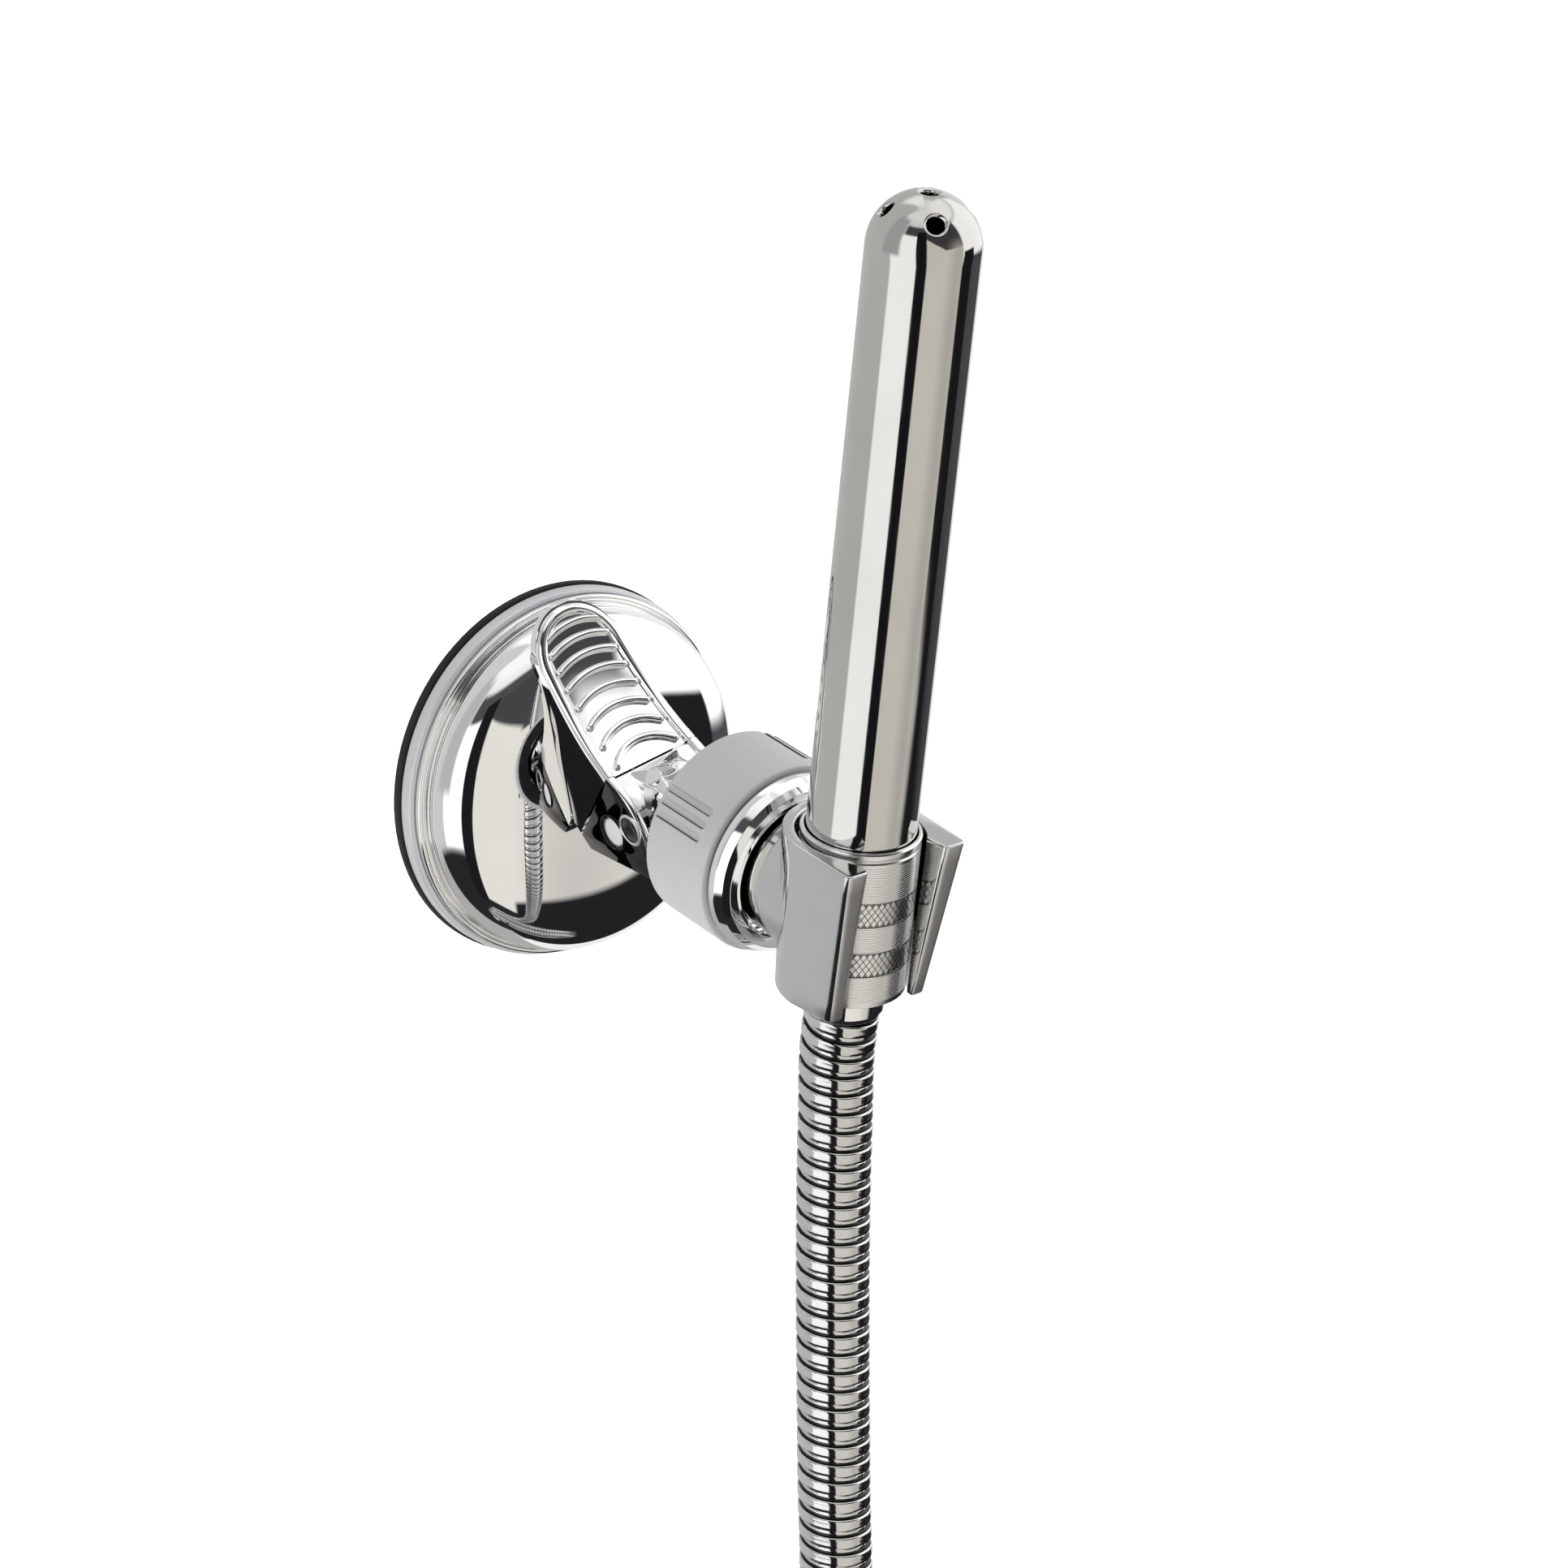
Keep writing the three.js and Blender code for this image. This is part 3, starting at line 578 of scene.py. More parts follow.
# ---- surroundings ----
WHITE = (1.3, 1.3, 1.3)
UNLIT = (0.62, 0.62, 0.615)                              # wherever no panel stands
SEAM, FOOT = 180, -90                                    # a panel that reaches these has no edge there
PANELS = (
    # two bearings from the front and two heights above the horizon in degrees, softness, light, slope
    (-180, -44, -90, -36, 6, (0.42, 0.42, 0.415)),       # floor to the left and behind
    (-75, 75, 50, 84, 8, (0.9, 0.9, 0.9)),               # ceiling in front
    (-180, 180, 79, 91, 5, (0.9, 0.9, 0.9)),
    (-80, 180, 62, 91, 5, (1.0, 1.0, 1.0)),
    (-46, 84, 33, 51, 3, (0.075, 0.075, 0.078)),         # dark gap above the front panels
    (-16, 84, 3, 40, 2, (0.06, 0.06, 0.063)),
    (-95, 44, -90, -36, 3, (0.02, 0.02, 0.022)),         # dark floor in front
    (-69, -16.5, -34, 33, 2, WHITE),                     # tall soft box, front left
    (-88, -50, -6, 60, 5, (0.48, 0.48, 0.48)),           # dim wall to the left of its upper part
    (-16.5, 4.5, -62, 42, 0.8, (0.012, 0.012, 0.014)),   # narrow dark gap beside it
    (4.5, 83, -60, 5, 0.8, (0.80, 0.77, 0.715)),         # wide pale board, front right
    (4.5, 40, 0, 28, 1.5, (0.80, 0.77, 0.715), -0.6),    # its top slopes up to the left
    (55, 83, -60, 10, 16, (0.60, 0.58, 0.54)),
    (40, 165, -90, -52, 2, (0.016, 0.016, 0.018), 0.4),  # dark floor to the right
    (83, 150, -30, -12, 1.2, (0.014, 0.014, 0.016)),     # dark gap under the right soft box
    (100, 150, -30, -12, 9, (0.09, 0.09, 0.1)),
    (98, 165, -40, -28, 2, (0.016, 0.016, 0.018)),
    (81, 154, -12, 44, 3, WHITE),                        # soft box, right
    (83, 110, -30, -4, 1.5, (0.014, 0.014, 0.016)),
    (150, 180, -80, 30, 1.5, (0.9, 0.9, 0.89)),
    (55, 155, 47, 78, 6, (1.15, 1.15, 1.15)),            # overhead panels
    (-180, -140, 48, 82, 8, (1.2, 1.2, 1.2)),
)


def sheared(tree, height, bearing, left, slope=0):
    """Height above a line that rises with the slope from the panel's left edge."""
    if not slope:
        return height
    rise = times(tree, calculate(tree, "SUBTRACT", bearing, left), slope)
    return calculate(tree, "SUBTRACT", height, rise)


def panel_mask(tree, bearing, height, left, right, low, high, soft):
    """1 inside a panel's soft edges."""
    edges = ((bearing, left, True), (bearing, right, False), (height, low, True), (height, high, False))
    masks = [smooth_step(tree, value, edge - soft, edge + soft, rising)
             for value, edge, rising in edges if edge not in (-SEAM, SEAM, FOOT)]
    return reduce(lambda one, two: times(tree, one, two), masks)


def studio_light(tree):
    """The panels' light, by the direction that a ray leaves in."""
    coords = tree.nodes.new("ShaderNodeTexCoord")
    split = tree.nodes.new("ShaderNodeSeparateXYZ")
    tree.links.new(coords.outputs["Generated"], split.inputs["Vector"])
    x, y, z = (split.outputs[k] for k in "XYZ")
    front_x, front_y = sin(AZIMUTH), -cos(AZIMUTH)
    ahead = calculate(tree, "ADD", times(tree, x, front_x), times(tree, y, front_y))
    aside = calculate(tree, "ADD", times(tree, x, -front_y), times(tree, y, front_x))
    bearing = times(tree, calculate(tree, "ARCTAN2", aside, ahead), 180 / pi)
    height = times(tree, calculate(tree, "ARCSINE", z), 180 / pi)
    colour = UNLIT
    for left, right, low, high, soft, light, *slope in PANELS:
        above = sheared(tree, height, bearing, left, *slope)
        colour = blend(tree, panel_mask(tree, bearing, above, left, right, low, high, soft), colour, light)
    return colour


def make_surroundings():
    """A light studio: soft boxes and dark gaps that the metal reflects, and a plain pale backdrop."""
    world = bpy.data.worlds.new("studio")
    bpy.context.scene.world = world
    world.use_nodes = True
    tree = world.node_tree
    tree.nodes.clear()
    studio = tree.nodes.new("ShaderNodeBackground")
    plug(tree, studio_light(tree), studio.inputs["Color"])
    plain = tree.nodes.new("ShaderNodeBackground")
    plain.inputs["Color"].default_value = (1, 1, 1, 1)
    chosen = tree.nodes.new("ShaderNodeMixShader")
    rays = tree.nodes.new("ShaderNodeLightPath")
    output = tree.nodes.new("ShaderNodeOutputWorld")
    tree.links.new(rays.outputs["Is Camera Ray"], chosen.inputs["Fac"])
    tree.links.new(studio.outputs["Background"], chosen.inputs[1])
    tree.links.new(plain.outputs["Background"], chosen.inputs[2])
    tree.links.new(chosen.outputs["Shader"], output.inputs["Surface"])


def make_floor():
    bm = bmesh.new()
    bmesh.ops.create_grid(bm, x_segments=1, y_segments=1, size=12)
    bmesh.ops.translate(bm, verts=bm.verts, vec=(0, 0, cad_box[0][2] - 0.03))
    floor = place_mesh("floor", bm)
    made, tree, shader = material("pale_floor")
    cloud = noise(tree, 3)
    tree.links.new(tint(tree, cloud, (0.90, 0.90, 0.90), (0.93, 0.93, 0.93)), shader.inputs["Base Color"])
    shader.inputs["Roughness"].default_value = 0.9
    shader.inputs["Emission Color"].default_value = (1, 1, 1, 1)
    shader.inputs["Emission Strength"].default_value = 0.75
    floor.data.materials.append(made)
    floor.visible_glossy = False


# ---- hose ----
def coil_depth(angle):
    """The coil steps back past the hanging run, and then winds on evenly."""
    past = angle - JOIN_ANGLE
    if past < STEP_ANGLE:
        return RUN_DEPTH + STEP_BACK * past / STEP_ANGLE
    return RUN_DEPTH + STEP_BACK + COIL_PITCH * (past - STEP_ANGLE) / 360


def coil_point(angle):
    turn = radians(angle)
    return Vector((COIL_RADIUS * cos(turn), coil_depth(angle), COIL_HEIGHT + COIL_RADIUS * sin(turn)))


def hose_route():
    """The hose's centre line: straight out of the wand, down, round the coil and to its end."""
    points = [HOLDER @ Vector((0, 0, -21)), HOLDER @ Vector((0, 0, -31))]
    points += [Vector(p) for p in (
        (0, -87.4, -41), (0, -86.9, -58), (0, -86.8, -76), (0, -87, -95), (0, -87.4, -118),
        (0, -87.8, -142), (-3.5, -88.1, -163), (-12, -88.4, -183), (-25.5, -88.4, -198),
        (-41.2, -88.4, -207.5), (-56.5, -88.4, -215.5), (-70, -88.4, -228.5), (-79.5, -88.4, -246.5),
        (-82.4, -88.4, -268.2))]
    points += [coil_point(angle) for angle in np.arange(JOIN_ANGLE, END_ANGLE + 1, COIL_STEP)]
    end = coil_point(END_ANGLE)
    points += [end + Vector((0, 0, -TAIL_LENGTH * k / 4)) for k in range(1, 5)]
    return points


# One pitch of the wound strip, as (share of the pitch, radius): a broad raised band and a sunk one.
BANDS = ((0.0, 6.3), (0.03, 6.72), (0.07, 6.92), (0.13, 7.0), (0.2, 6.97), (0.42, 6.99), (0.58, 6.99),
         (0.62, 6.93), (0.64, 6.3), (0.7, 6.22), (0.8, 6.42), (0.9, 6.4), (0.96, 6.24))
AROUND = 32                                              # faces round the hose


def wound_points(path, length):
    """For each step of the bands' profile, the points of its helix along the path."""
    frames = carried_frames(path)
    centres = np.array([tuple(p) for p in path])
    firsts = np.array([tuple(f[0]) for f in frames])
    seconds = np.array([tuple(f[1]) for f in frames])
    index = np.arange(AROUND * (ceil(length / HOSE_PITCH) + 1) + 1)
    angle = (-2 * pi * index / AROUND)[:, None]
    rows = []
    for phase, radius in BANDS:
        along = np.clip((index / AROUND + phase - 1) * HOSE_PITCH, 0, length)
        spot = along / length * (len(path) - 1)
        low = np.clip(spot.astype(int), 0, len(path) - 2)
        part = (spot - low)[:, None]
        centre, first, second = (table[low] * (1 - part) + table[low + 1] * part
                                 for table in (centres, firsts, seconds))
        rows.append(centre + (first * np.cos(angle) + second * np.sin(angle)) * radius)
    return rows


def wound_faces(count):
    """Quads between one helix and the next, and from the last to the first helix one turn on.

    The walls that lead down to the sunk band are marked to take a painted shade.
    """
    faces, in_painted_shade = [], []
    for k, (phase, _) in enumerate(BANDS):
        last = k + 1 == len(BANDS)
        start, steps = (AROUND, count - 1 - AROUND) if last else ((k + 1) * count, count - 1)
        for i in range(steps):
            faces.append((k * count + i, k * count + i + 1, start + i + 1, start + i))
        # these faces take the painted shade
        dark = phase < 0.02 or 0.6 < phase < 0.69 or phase > 0.88
        in_painted_shade += [int(dark)] * steps
    return faces, in_painted_shade


def closed_tube(mesh):
    """The hose's skin with its squeezed ends merged, and capped."""
    bm = bmesh.new()
    bm.from_mesh(mesh)
    bpy.data.meshes.remove(mesh)
    bmesh.ops.remove_doubles(bm, verts=bm.verts, dist=1e-3)
    bmesh.ops.dissolve_degenerate(bm, dist=1e-3, edges=bm.edges)
    loose = [v for v in bm.verts if not v.link_faces]
    bmesh.ops.delete(bm, geom=loose, context="VERTS")
    open_edges = [e for e in bm.edges if len(e.link_faces) == 1]
    bmesh.ops.holes_fill(bm, edges=open_edges, sides=0)
    return bm


def make_hose():
    path, length = smooth_curve(hose_route(), 2600)
    rows = wound_points(path, length)
    faces, in_painted_shade = wound_faces(len(rows[0]))
    mesh = bpy.data.meshes.new("hose")
    mesh.from_pydata(np.concatenate(rows).tolist(), [], faces)
    mesh.polygons.foreach_set("material_index", in_painted_shade)
    hose = new_piece("shower_hose", closed_tube(mesh), WORLD, smooth=38)
    finish_piece(hose, HOSE_METAL, "hose", "hose_metal", "hose_tube", "hose_coil", "hose_tail")
    # the second material is the painted shade on the sunk band's walls
    hose.data.materials.append(HOSE_RECESS_SHADE)
    ends = [make_tie(), make_nut(), make_end_ferrule(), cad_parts["hose_washer_end"]]


def make_tie():
    """A black strap round the wound turns."""
    matrix = (Matrix.Translation((0, 0, COIL_HEIGHT)) @ Matrix.Rotation(radians(-237), 4, "Y")
              @ Matrix.Translation((COIL_RADIUS, 0, 0)))
    inner, strap = HOSE_RADIUS + 0.6, 1.6
    low, high = -93.8, -45.5
    bm = bmesh.new()
    outer = rounded([(-inner - strap, low - strap, 3.4), (inner + strap, low - strap, 3.4),
                     (inner + strap, high + strap, 3.4), (-inner - strap, high + strap, 3.4)], 8)
    hole = rounded([(-inner, low, 2), (inner, low, 2), (inner, high, 2), (-inner, high, 2)], 8)
    loops = [[bm.verts.new((a, b, c)) for a, b in shape] for shape, c in
             ((outer, -3.6), (outer, 3.6), (hole, 3.6), (hole, -3.6))]
    skin(bm, loops, closed=True)
    tie = new_piece("hose_strap", bm, matrix)
    bevel(tie, 0.4)
    return finish_piece(tie, NYLON, "hose", "nylon", "hose_tie")


def tail_end():
    end = coil_point(END_ANGLE)
    return Matrix.Translation((end.x, end.y, end.z - TAIL_LENGTH))


def make_nut():
    """The six-sided union nut, with a round bore and a turned collar."""
    nut = turned("union_nut", rounded([
        (7.9, -8), (10.6, -8, 0.5), (11.3, -11, 0.6), (13.2, -12.2, 0.6), (13.2, -32.4, 0.7), (12.2, -33),
        (10.4, -33, 0.4), (10.4, -19.2), (7.9, -19.2)]), tail_end())
    corners = [(13.6 * cos(radians(a)), 13.6 * sin(radians(a))) for a in range(30, 390, 60)]
    cut(nut, [block(corners, -40, 0, level, tail_end())], "INTERSECT")
    bevel(nut, 0.25)
    return finish_piece(nut, CHROME, "nut", "chrome", "hose_nut_end")


def make_end_ferrule():
    profile = rounded([(5, -0.3), (7.6, -0.3, 0.4), (7.6, -20), (8.9, -20, 0.3), (8.9, -23, 0.3), (5, -23)])
    piece = turned("end_ferrule", profile, tail_end(), 64)
    return finish_piece(piece, CHROME, "hose", "chrome", "hose_ferrule_end")


# ---- suction base ----
def dome_points(last, count):
    """The dome's outline, from its foot inward to where it is last millimetres from the axis."""
    points = []
    for k in range(count + 1):
        t = pi / 2 * k / count
        r = DOME_RADIUS * cos(t) ** (2 / DOME_POWER)
        if r < last:
            break
        points.append((r, DOME_FOOT + DOME_RISE * sin(t) ** (2 / DOME_POWER)))
    height = (1 - (last / DOME_RADIUS) ** DOME_POWER) ** (1 / DOME_POWER)
    return points + [(last, DOME_FOOT + DOME_RISE * height)]


def make_suction_base():
    cup = rounded([
        (0, 1.2), (20, 0.8), (25, 0.05, 0.5), (27.2, 0.05, 0.2), (27.7, 0.5, 0.2), (28.2, 0.05, 0.2),
        (31.2, 0.05, 0.2), (31.7, 0.5, 0.2), (32.2, 0.05, 0.2), (37.2, 0.05, 0.5), (37.2, 1.9, 0.5),
        (33, 1.9, 0.3), (32, 3, 0.5), (22, 3.6, 2), (12, 4.6, 1), (10.6, 11.5, 0.8), (4.3, 11.5, 0.3),
        (4.3, 8.7), (9.3, 8.7), (9.3, 2.7), (0, 2.7)])
    finish_piece(turned("rubber_cup", cup, OUT_FROM_WALL), RUBBER, "base", "rubber", "suction_cup")
    ring = rounded([(33.4, 2.2), (36.8, 2.2, 0.3), (36.8, 4.9, 1.0), (35.9, 5.4, 0.2), (35.7, 5.0, 0.15),
                    (35.3, 5.4, 0.15), (33.4, 5.4)])
    finish_piece(turned("clamping_ring", ring, OUT_FROM_WALL, 128), RING_GREY, "base", "satin", "clamp_ring")
    shell = rounded([
        (4.4, 14), (9, 14, 1), (9.5, 19.0), (18, 18.4, 4), (27, 15.4, 4), (32.4, 9, 2), (32.4, 5),
        (31.2, 3.4), (33.1, 3.4), (33.1, 5.7), (35.9, 5.7, 0.3), (35.95, 6.95, 0.55), (34.95, 7.05, 0.35),
        (34.8, 6.35, 0.15), (34.35, 6.35, 0.15), (34.25, 7.4, 0.2)])
    shell += dome_points(7.4, 72)[1:]
    shell += [(7.1, 21.05), (6.7, 20.9), (6.6, 20.2), (6.2, 20.0), (4.7, 20.0), (4.4, 19.7)]
    finish_piece(turned("dome_shell", shell, OUT_FROM_WALL, 256), CHROME, "base", "chrome", "base_shell")


def cross_bore(radius, low, high, y, z):
    bm = bmesh.new()
    lathe(bm, [(0, low), (radius, low), (radius, high), (0, high)], 48, crosswise(y, z))
    return new_piece("cross_bore", bm, LEVER)


def make_stem():
    profile = rounded([(0, 5.6), (9, 5.6, 0.3), (9, 8.4, 0.3), (4, 8.4), (4, 28.8), (0, 28.8)])
    stem = turned("draw_rod", profile, LEVER @ OUT_FROM_WALL, 64)
    top = [(PIN_Y - 5.9 * cos(a), PIN_Z + 5.9 * sin(a)) for a in np.linspace(-pi / 2, pi / 2, 25)]
    eye = block(top + [(-27.5, PIN_Z + 5.2), (-27.5, PIN_Z - 5.2)], -4, 4)
    cut(stem, [eye], "UNION")
    cut(stem, [cross_bore(PIN_BORE, -6, 6, PIN_Y, PIN_Z)])
    bevel(stem, 0.3)
    finish_piece(stem, MACHINED, "stem", "steel", "draw_stem")


# ---- lever ----
FACE = ((-35.15, 12.95), (-29.7, 17.12), (-24.75, 22.1), (-19.55, 28.75), (-16.83, 33.43), (-14.3, 39))
FACE_STEPS = 59
FACE_POINTS, FACE_LENGTH = smooth_curve(FACE, FACE_STEPS + 1)


def on_face(x, along, sink):
    """The point of the tongue's face at x and a distance up from the seam, sunk below it."""
    spot = min(max(along / FACE_LENGTH * FACE_STEPS, 0), FACE_STEPS - 0.001)
    low = int(spot)
    here = FACE_POINTS[low].lerp(FACE_POINTS[low + 1], spot - low)
    run = (FACE_POINTS[low + 1] - FACE_POINTS[low]).normalized()
    return Vector((x, here.x + run.y * sink, here.y - run.x * sink))


def along_at(z):
    """How far up the face a height is."""
    heights = [p.y for p in FACE_POINTS]
    return float(np.interp(z, heights, np.linspace(0, FACE_LENGTH, FACE_STEPS + 1)))


def tongue_plan():
    """The tongue's outline from the front, from one side of the seam round the tip to the other."""
    points = [(LEVER_HALF, -8), (LEVER_HALF, TAPER_START)]
    points += [(TIP_RADIUS * cos(a), TIP_CENTRE + TIP_RADIUS * sin(a)) for a in np.linspace(0, pi, 41)]
    return points + [(-LEVER_HALF, TAPER_START), (-LEVER_HALF, -8)]


def make_tongue():
    outline = [tuple(on_face(0, d, 0.9).yz) for d in np.linspace(0, FACE_LENGTH, FACE_STEPS + 1)]
    outline += [(-12.2, 39), (-14.6, 32.5), (-17.1, 29), (-19, 25), (-20.7, 20.5), (-21.3, 17), (-21.5, 11.5),
                (-21.5, -0.5), (-23, -2.3)]
    tongue = block(outline, -12, 12)
    cut(tongue, [block(tongue_plan(), -50, 0, front)], "INTERSECT")
    hollow = rounded([(-33, 8.4, 0.6), (-30, 12, 1), (-25.5, 17, 1.5), (-15, 17), (-15, -8), (-33, -8)])
    cut(tongue, [block(hollow, -SLOT_HALF, SLOT_HALF)])
    bevel(tongue, 0.45, 35)
    parts, details = reopened(tongue), bmesh.new()
    add_rim(details)
    for k in range(8):
        add_rib(details, k)
    join(parts, details, LEVER)
    finish_piece(new_piece("lever_paddle", parts, WORLD), PADDLE_CHROME, "lever", "chrome", "lever_tongue")


def add_rim(bm):
    """The raised bead that runs up one edge of the face, round the tip and down the other."""
    half, tip = LEVER_HALF - BEAD, TIP_RADIUS - BEAD
    taper = (LEVER_HALF - TIP_RADIUS) / (TIP_CENTRE - TAPER_START)
    side_run = [(half - taper * (z - TAPER_START), z) for z in np.linspace(12.95, 28, 14)]
    arc = [(tip * cos(a), TIP_CENTRE + tip * sin(a)) for a in np.linspace(0, pi, 33)]
    plan = side_run + arc + [(-x, z) for x, z in reversed(side_run)]
    rod(bm, [on_face(x, along_at(z), BEAD_SINK) for x, z in plan], BEAD, 20, False)


def add_rib(bm, k):
    """A finger rib: a low round bar bowed towards the tip. The lowest ones bow the most."""
    ends = 1.6 + 4.85 * k - 0.14 * k * k
    bow = 1.25 + 1.9 * exp(-k / 2)
    reach = 6.9 - 0.1 * k if k < 6 else 6.4 - 0.35 * (k - 6)
    radius = (reach * reach + bow * bow) / (2 * bow)
    centre = ends + bow - radius
    spread = atan2(reach, ends - centre)
    turns = np.linspace(-spread, spread, 25)
    rod(bm, [on_face(0.25 + radius * sin(a), centre + radius * cos(a), 0.68) for a in turns], 0.76)


YOKE_FACE = ((-35.4, 12.7), (-38.4, 10.9), (-41.2, 8.1), (-43.0, 5.4), (-44.1, 3), (-45.3, -4.4))


def sunk_edge(edge, depth):
    """The (y, z) points of a curve moved square to itself, into the yoke."""
    points = []
    for i, p in enumerate(edge):
        run = (edge[min(i + 1, len(edge) - 1)] - edge[max(i - 1, 0)]).normalized()
        points.append((p.x - run.y * depth, p.y + run.x * depth))
    return points


def make_yoke():
    edge, _ = smooth_curve(YOKE_FACE, 36)
    outline = sunk_edge(edge, 0.8) + [(-43.5, -5.3), (-25.5, -5), (-23.3, -2.6)]
    yoke = block(outline, -LEVER_HALF, LEVER_HALF)
    slot = rounded([(-41.2, -8), (-41.2, 4, 2), (-38, 8.4, 2), (-20, 8.4), (-20, -8)])
    cut(yoke, [block(slot, -SLOT_HALF, SLOT_HALF), cross_bore(PIN_BORE, -12, 12, PIN_Y, PIN_Z),
               cross_bore(BLIND_RADIUS, -12, -8.8, *BLIND_HOLE),
               cross_bore(BLIND_RADIUS, 8.8, 12, *BLIND_HOLE)])
    bevel(yoke, 0.4, 35)
    parts, details = reopened(yoke), bmesh.new()
    for way in (-1, 1):
        bead = [(way * (LEVER_HALF - BEAD), y, z) for y, z in sunk_edge(edge, BEAD_SINK)]
        rod(details, bead, BEAD, 20)
        eyelet(details, way, PIN_Y, PIN_Z, PIN_BORE)
        eyelet(details, way, *BLIND_HOLE, BLIND_RADIUS)
    join(parts, details, LEVER)
    join(parts, make_neck())
    finish_piece(new_piece("yoke_and_neck", parts, WORLD), YOKE_CHROME, "lever", "chrome", "arm_yoke")


def eyelet(bm, way, y, z, radius):
    """A rolled lip round a hole in the cheek's outer face."""
    turns = np.linspace(0, 2 * pi, 12, endpoint=False)
    circle = [(radius + 0.2 + 0.28 * cos(a), 0.28 * sin(a)) for a in turns]
    lathe(bm, circle, 48, crosswise(y, z, way * 10.75))


def make_neck():
    """The neck that carries the collar: it narrows to the yoke, flat at the sides, with its rear thread."""
    neck = turned("neck", [
        (0, 28.5), (15.2, 28.5), (15.2, 33), (11.4, 33.4), (11.2, 36.5), (10.4, 38.5), (9.4, 40.5),
        (8.3, 43.5), (7.2, 47), (6.4, 50), (5.9, 53), (6.0, 55), (6.6, 57.5), (0, 57.5)], TO_WALL)
    kept = block([(-80, -30), (-80, 30), (-49, 30), (-46, 14.9), (-42, 13.8), (-38.6, 12.9), (-36.0, 12.35),
                  (-36.5, -5.5), (-37, -30)], -6.3, 6.3)
    cut(kept, [block([(-90, -30), (-90, 30), (-54.6, 30), (-54.6, -30)], -20, 20)], "UNION")
    cut(neck, [kept], "INTERSECT")
    slot = [(-41.2, -8), (-41.2, 4), (-38, 8.4), (-20, 8.4), (-20, -8)]
    cut(neck, [block(slot, -SLOT_HALF, SLOT_HALF)])
    parts = reopened(neck)
    for way in (-1, 1):
        web = bmesh.new()
        corners = [web.verts.new((way * x, y, z)) for x, y, z in
                   ((5.0, -38.2, 10.9), (8.1, -43.2, 4.6), (6.2, -43.5, 11.2), (5.0, -41.6, 4.6))]
        for skip in range(4):
            web.faces.new([c for k, c in enumerate(corners) if k != skip])
        join(parts, web, LEVER)
    return parts


def make_pin():
    axis = LEVER @ crosswise(PIN_Y, PIN_Z)
    profile = rounded([(0, -10.6), (PIN_RADIUS, -10.6, 0.5), (PIN_RADIUS, 10.6, 0.5), (0, 10.6)])
    finish_piece(turned("cross_pin", profile, axis, 64), PIN_METAL, "lever", "chrome", "pivot_pin")
    ring = rounded([(PIN_BORE, 4.3), (5.4, 4.3, 0.3), (5.4, 7.3, 0.3), (PIN_BORE, 7.3)])
    for way, end in ((-1, "left"), (1, "right")):
        bush = turned(f"bush_{end}", [(r, way * x) for r, x in ring], axis, 64)
        finish_piece(bush, PLASTIC, "lever", "plastic", f"spacer_{end}")


# ---- collar and swivel ----
def make_collar():
    profile = rounded([(12, 37, 0.3), (12, 33.6), (15.6, 33.6), (15.6, 20.4), (18.5, 20.4, 0.45),
                       (18.45, 37, 1.1)], 8)
    collar = turned("collar", profile, TO_WALL, 160)
    cut(collar, [grip_groove(radians(139 + 90 * k + 8 * step)) for k in range(4) for step in (-1, 0, 1)])
    finish_piece(collar, SATIN, "collar", "satin", "clamp_collar")


def grip_groove(angle):
    """A shallow flute with a round front end, open at the collar's rear. Its upper wall slopes most."""
    bm = bmesh.new()
    loops = []
    for radius, upper, lower, front_end in ((17.98, 0.5, 0.72, 24.0), (18.62, 0.92, 0.8, 23.55)):
        middle, half = (upper - lower) / 2, (upper + lower) / 2
        outline = [(middle + half * cos(a), front_end + half * (1 - sin(a))) for a in np.linspace(0, pi, 15)]
        outline += [(middle - half, 42), (middle + half, 42)]
        loops.append([bm.verts.new((radius, along, across)) for across, along in outline])
    skin(bm, loops)
    return new_piece("flute", bm, ARM @ Matrix.Rotation(-angle, 4, "Y"))


def make_swivel():
    flange = rounded([(2.7, 26), (2.7, 16.4), (12.6, 16.4), (13.2, 15.75, 0.12), (13.7, 16.0, 0.1),
                      (15.6, 15.6, 0.2), (16.7, 16.6, 0.4), (17.5, 18.2, 1.2), (17.5, 19.8, 0.25),
                      (15.2, 19.8), (15.2, 26)], 6)
    finish_piece(turned("swivel_disc", flange, TO_WALL, 160), CHROME, "swivel", "chrome", "swivel_flange")
    screw = rounded([(0, 13.0), (2.1, 13.0), (2.1, 12.1), (4, 12.1, 0.4), (4, 13.6, 0.2), (2.4, 13.6),
                     (2.4, 25), (0, 25)])
    finish_piece(turned("cap_screw", screw, TO_WALL, 48), MACHINED, "swivel", "steel", "flange_screw")


CLIP_TOP, CLIP_BOTTOM = 15.2, -16.7


def clip_section(height):
    """The cradle's outline across its axis at one height: its back, left lip, bore and right lip."""
    share = (height - CLIP_BOTTOM) / (CLIP_TOP - CLIP_BOTTOM)

    def mix(low, high):
        return low + (high - low) * share
    outer, bore, slot = mix(12.6, 14.1), mix(11.3, 11.8), mix(8.1, 8.8)
    reach, half = mix(9.2, 12.9), mix(11.3, 13.9)
    start = sqrt(max(bore * bore - slot * slot, 0))
    arc = [(outer * cos(a), outer * sin(a)) for a in np.linspace(0, pi, 49)]
    left_lip = rounded([arc[-2], (-half, -reach, 1.5), (-slot, -reach, 1.3), (-slot, -start)], 9)[1:-1]
    opening = atan2(-start, slot)
    inner = [(bore * cos(a), bore * sin(a)) for a in np.linspace(pi - opening, opening, 61)]
    right_lip = [(-x, y) for x, y in reversed(left_lip)]
    return arc + left_lip + inner + right_lip


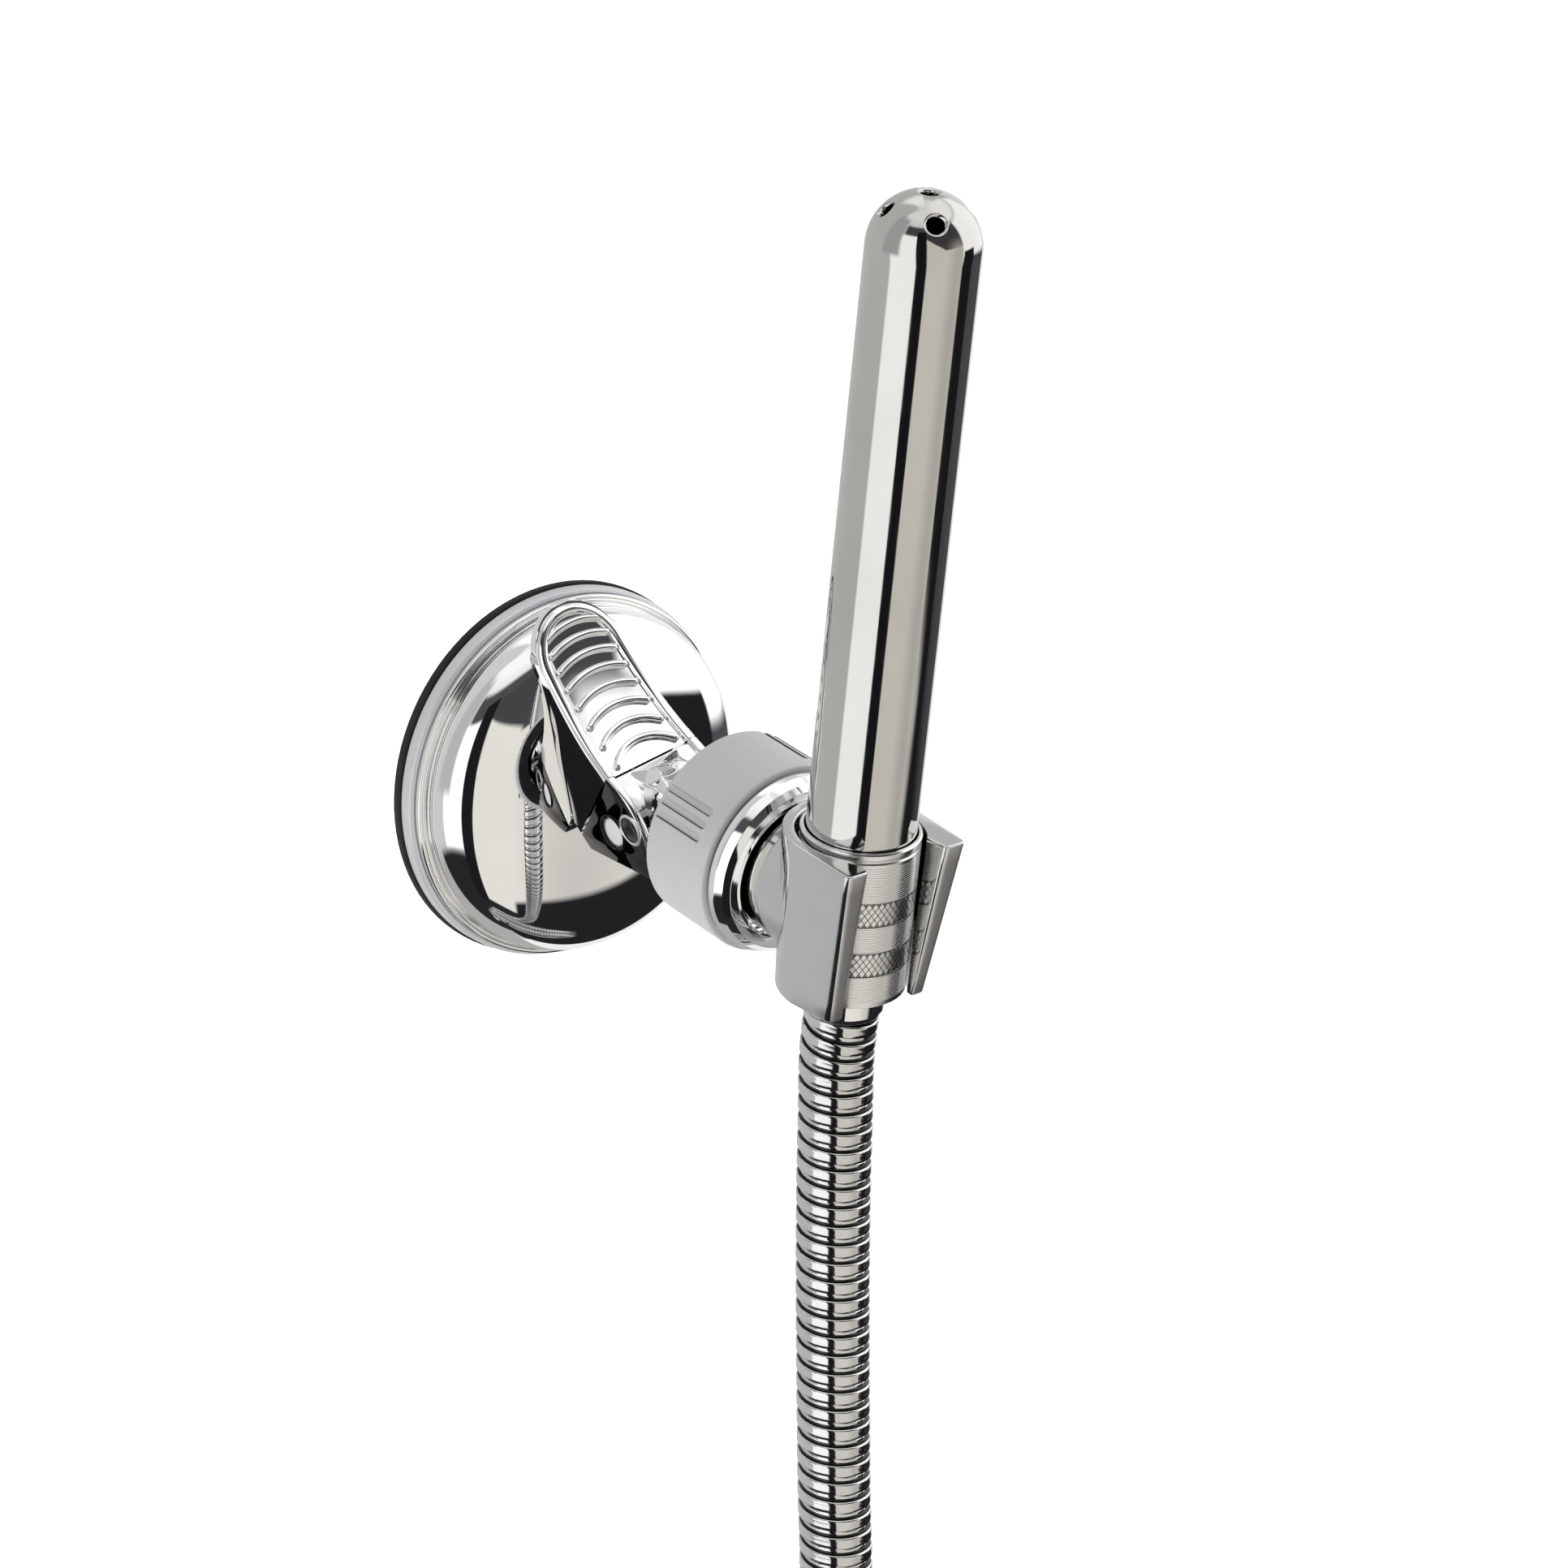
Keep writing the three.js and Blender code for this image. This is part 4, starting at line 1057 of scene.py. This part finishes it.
def make_clip():
    bm = bmesh.new()
    heights = np.linspace(CLIP_BOTTOM, CLIP_TOP, 9)
    skin(bm, [[bm.verts.new((x, y, h)) for x, y in clip_section(h)] for h in heights])
    clip = new_piece("clip", bm, HOLDER)
    bevel(clip, 0.55, 60, 4)
    parts = reopened(clip)
    join(parts, make_hub())
    finish_piece(new_piece("holder_cradle", parts, WORLD), CLIP_CHROME, "swivel", "chrome", "holder_clip")


def make_hub():
    hub = turned("hub", rounded([(4.3, 3), (12.8, 3), (12.8, 12.5, 0.5), (12.1, 12.7, 0.2), (12.1, 15.3),
                                 (4.3, 15.3)]), TO_WALL, 128)
    cut(hub, [turned("well", [(0, -20), (12.0, -20), (12.9, 20), (0, 20)], HOLDER)])
    return reopened(hub)


# ---- wand ----
def make_tube():
    centre = TUBE_TIP - TUBE_RADIUS
    bore = TUBE_RADIUS - 0.9
    profile = [(bore, 10.6), (TUBE_RADIUS, 10.6)]
    profile += [(TUBE_RADIUS, h) for h in np.linspace(30, centre - 4, 5)]
    profile += [(TUBE_RADIUS * cos(a), centre + TUBE_RADIUS * sin(a)) for a in np.linspace(0, pi / 2, 41)]
    profile += [(bore * cos(a), centre + bore * sin(a)) for a in np.linspace(pi / 2, 0, 25)]
    profile = [(r if r > 1e-6 else 0, h) for r, h in profile]
    tube = turned("tube", profile, HOLDER, 128)
    cut(tube, [spray_hole(0, 0)] + [spray_hole(HOLE_TILT, -HOLE_TURN + k * pi / 2) for k in range(4)])
    finish_piece(tube, STEEL_TUBE, "wand", "tube_steel", "wand_tube")


def spray_hole(tilt, turn):
    """A hole through the tip, flared at its mouth, leaning by tilt from the tip's middle."""
    flare = ((0, -0.8), (0.06, -0.6), (0.2, -0.42), (0.48, -0.24), (1.3, -0.1))
    profile = [(0, 4), (HOLE_RADIUS, 4)] + [(HOLE_RADIUS + out, TUBE_RADIUS + up) for out, up in flare]
    matrix = (HOLDER @ Matrix.Translation((0, 0, TUBE_TIP - TUBE_RADIUS)) @ Matrix.Rotation(turn, 4, "Z")
              @ Matrix.Rotation(tilt, 4, "X"))
    return turned("spray_hole", profile + [(0, TUBE_RADIUS + 0.3)], matrix, 64)


def fine_lines(high, low):
    """Fine turned grooves between two heights, from the top down."""
    points = []
    count = int((high - low) / LINE_PITCH)
    step = (high - low) / count
    for k in range(count):
        top = high - k * step
        points += [(BASE_R, top), (BASE_R, top - 0.55 * step), (BASE_R - LINE_DEPTH, top - 0.75 * step)]
    return points + [(BASE_R, low)]


def make_wand_base():
    """The turned socket: a lipped top, then bands of fine lines with two sunk belts of knurling between."""
    profile = rounded([
        (10.3, 16), (10.75, 16, 0.12), (BASE_R, 15.6, 0.2), (BASE_R, 14.75, 0.2), (10.75, 14.4, 0.1),
        (10.75, 14.15, 0.1), (BASE_R, 13.85, 0.12), (BASE_R, 13.55, 0.1)])[1:]
    profile += fine_lines(13.4, 6.3)
    profile += [(BASE_R, 6.25), (BASE_R - 0.22, 6.2), (BASE_R - 0.22, 1.35), (BASE_R, 1.3)]
    profile += fine_lines(1.25, -3.75)
    profile += [(BASE_R, -3.8), (BASE_R - 0.22, -3.85), (BASE_R - 0.22, -8.75), (BASE_R, -8.8)]
    profile += fine_lines(-8.85, -14.0)
    profile += [(BASE_R, -14.1), (BASE_R - 0.02, -15.0), (BASE_R - 0.3, -15.2), (9.5, -15.2), (9.5, 3),
                (8.6, 3), (8.6, 9), (10.3, 9), (10.3, 16)]
    bm = bmesh.new()
    lathe(bm, profile, 160)
    knurl(bm, 1.35, 6.2)
    knurl(bm, -8.75, -3.85)
    finish_piece(new_piece("wand_socket", bm, HOLDER, 25), TURNED, "wand", "satin", "wand_base")


def knurl(bm, low, high):
    """A band of small raised diamonds left between two crossing sets of grooves."""
    columns, rows = 58, 3
    tall = (high - low) / rows
    for j in range(2 * rows - 1):
        height = low + tall * (j + 1) / 2
        for i in range(columns):
            diamond(bm, 2 * pi * (i + j % 2 / 2) / columns, height, pi / columns, tall / 2)


def diamond(bm, angle, height, half_angle, half_tall):
    """One raised diamond, a little smaller at its top than at its foot."""
    loops = []
    for radius, size in ((BASE_R - 0.3, 0.96), (BASE_R - 0.02, 0.84)):
        loop = []
        for a, h in ((1, 0), (0, 1), (-1, 0), (0, -1)):
            turn = angle + a * size * half_angle
            up = height + h * size * half_tall
            loop.append(bm.verts.new((radius * cos(turn), radius * sin(turn), up)))
        loops.append(loop)
    skin(bm, loops)


def make_top_ferrule():
    piece = turned("top_ferrule", rounded([(5, -20.7), (7.3, -20.7, 0.3), (7.6, -19.6, 0.3), (7.6, -4.5),
                                           (8.9, -4.5, 0.2), (8.9, -1.5, 0.2), (5, -1.5)]), HOLDER, 64)
    finish_piece(piece, CHROME, "hose", "chrome", "hose_ferrule_top")


INNER_LOOKS = {
    "pressure_plate": PLASTIC, "return_spring": MACHINED, "friction_washer": RUBBER, "tube_seal": RUBBER,
    "flow_disc": PLASTIC, "ferrule_retainer": TURNED, "hose_washer_top": RUBBER, "hose_washer_end": RUBBER,
}


def finish_inner_pieces():
    for node, look in INNER_LOOKS.items():
        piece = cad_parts[node]
        for slot in piece.material_slots:
            slot.material = look


make_camera()
bpy.context.scene.view_settings.view_transform = "Standard"
make_hose()
make_surroundings()
make_floor()
make_suction_base()
make_stem()
make_pin()
make_tongue()
make_yoke()
make_collar()
make_swivel()
make_clip()
make_tube()
make_wand_base()
make_top_ferrule()
finish_inner_pieces()
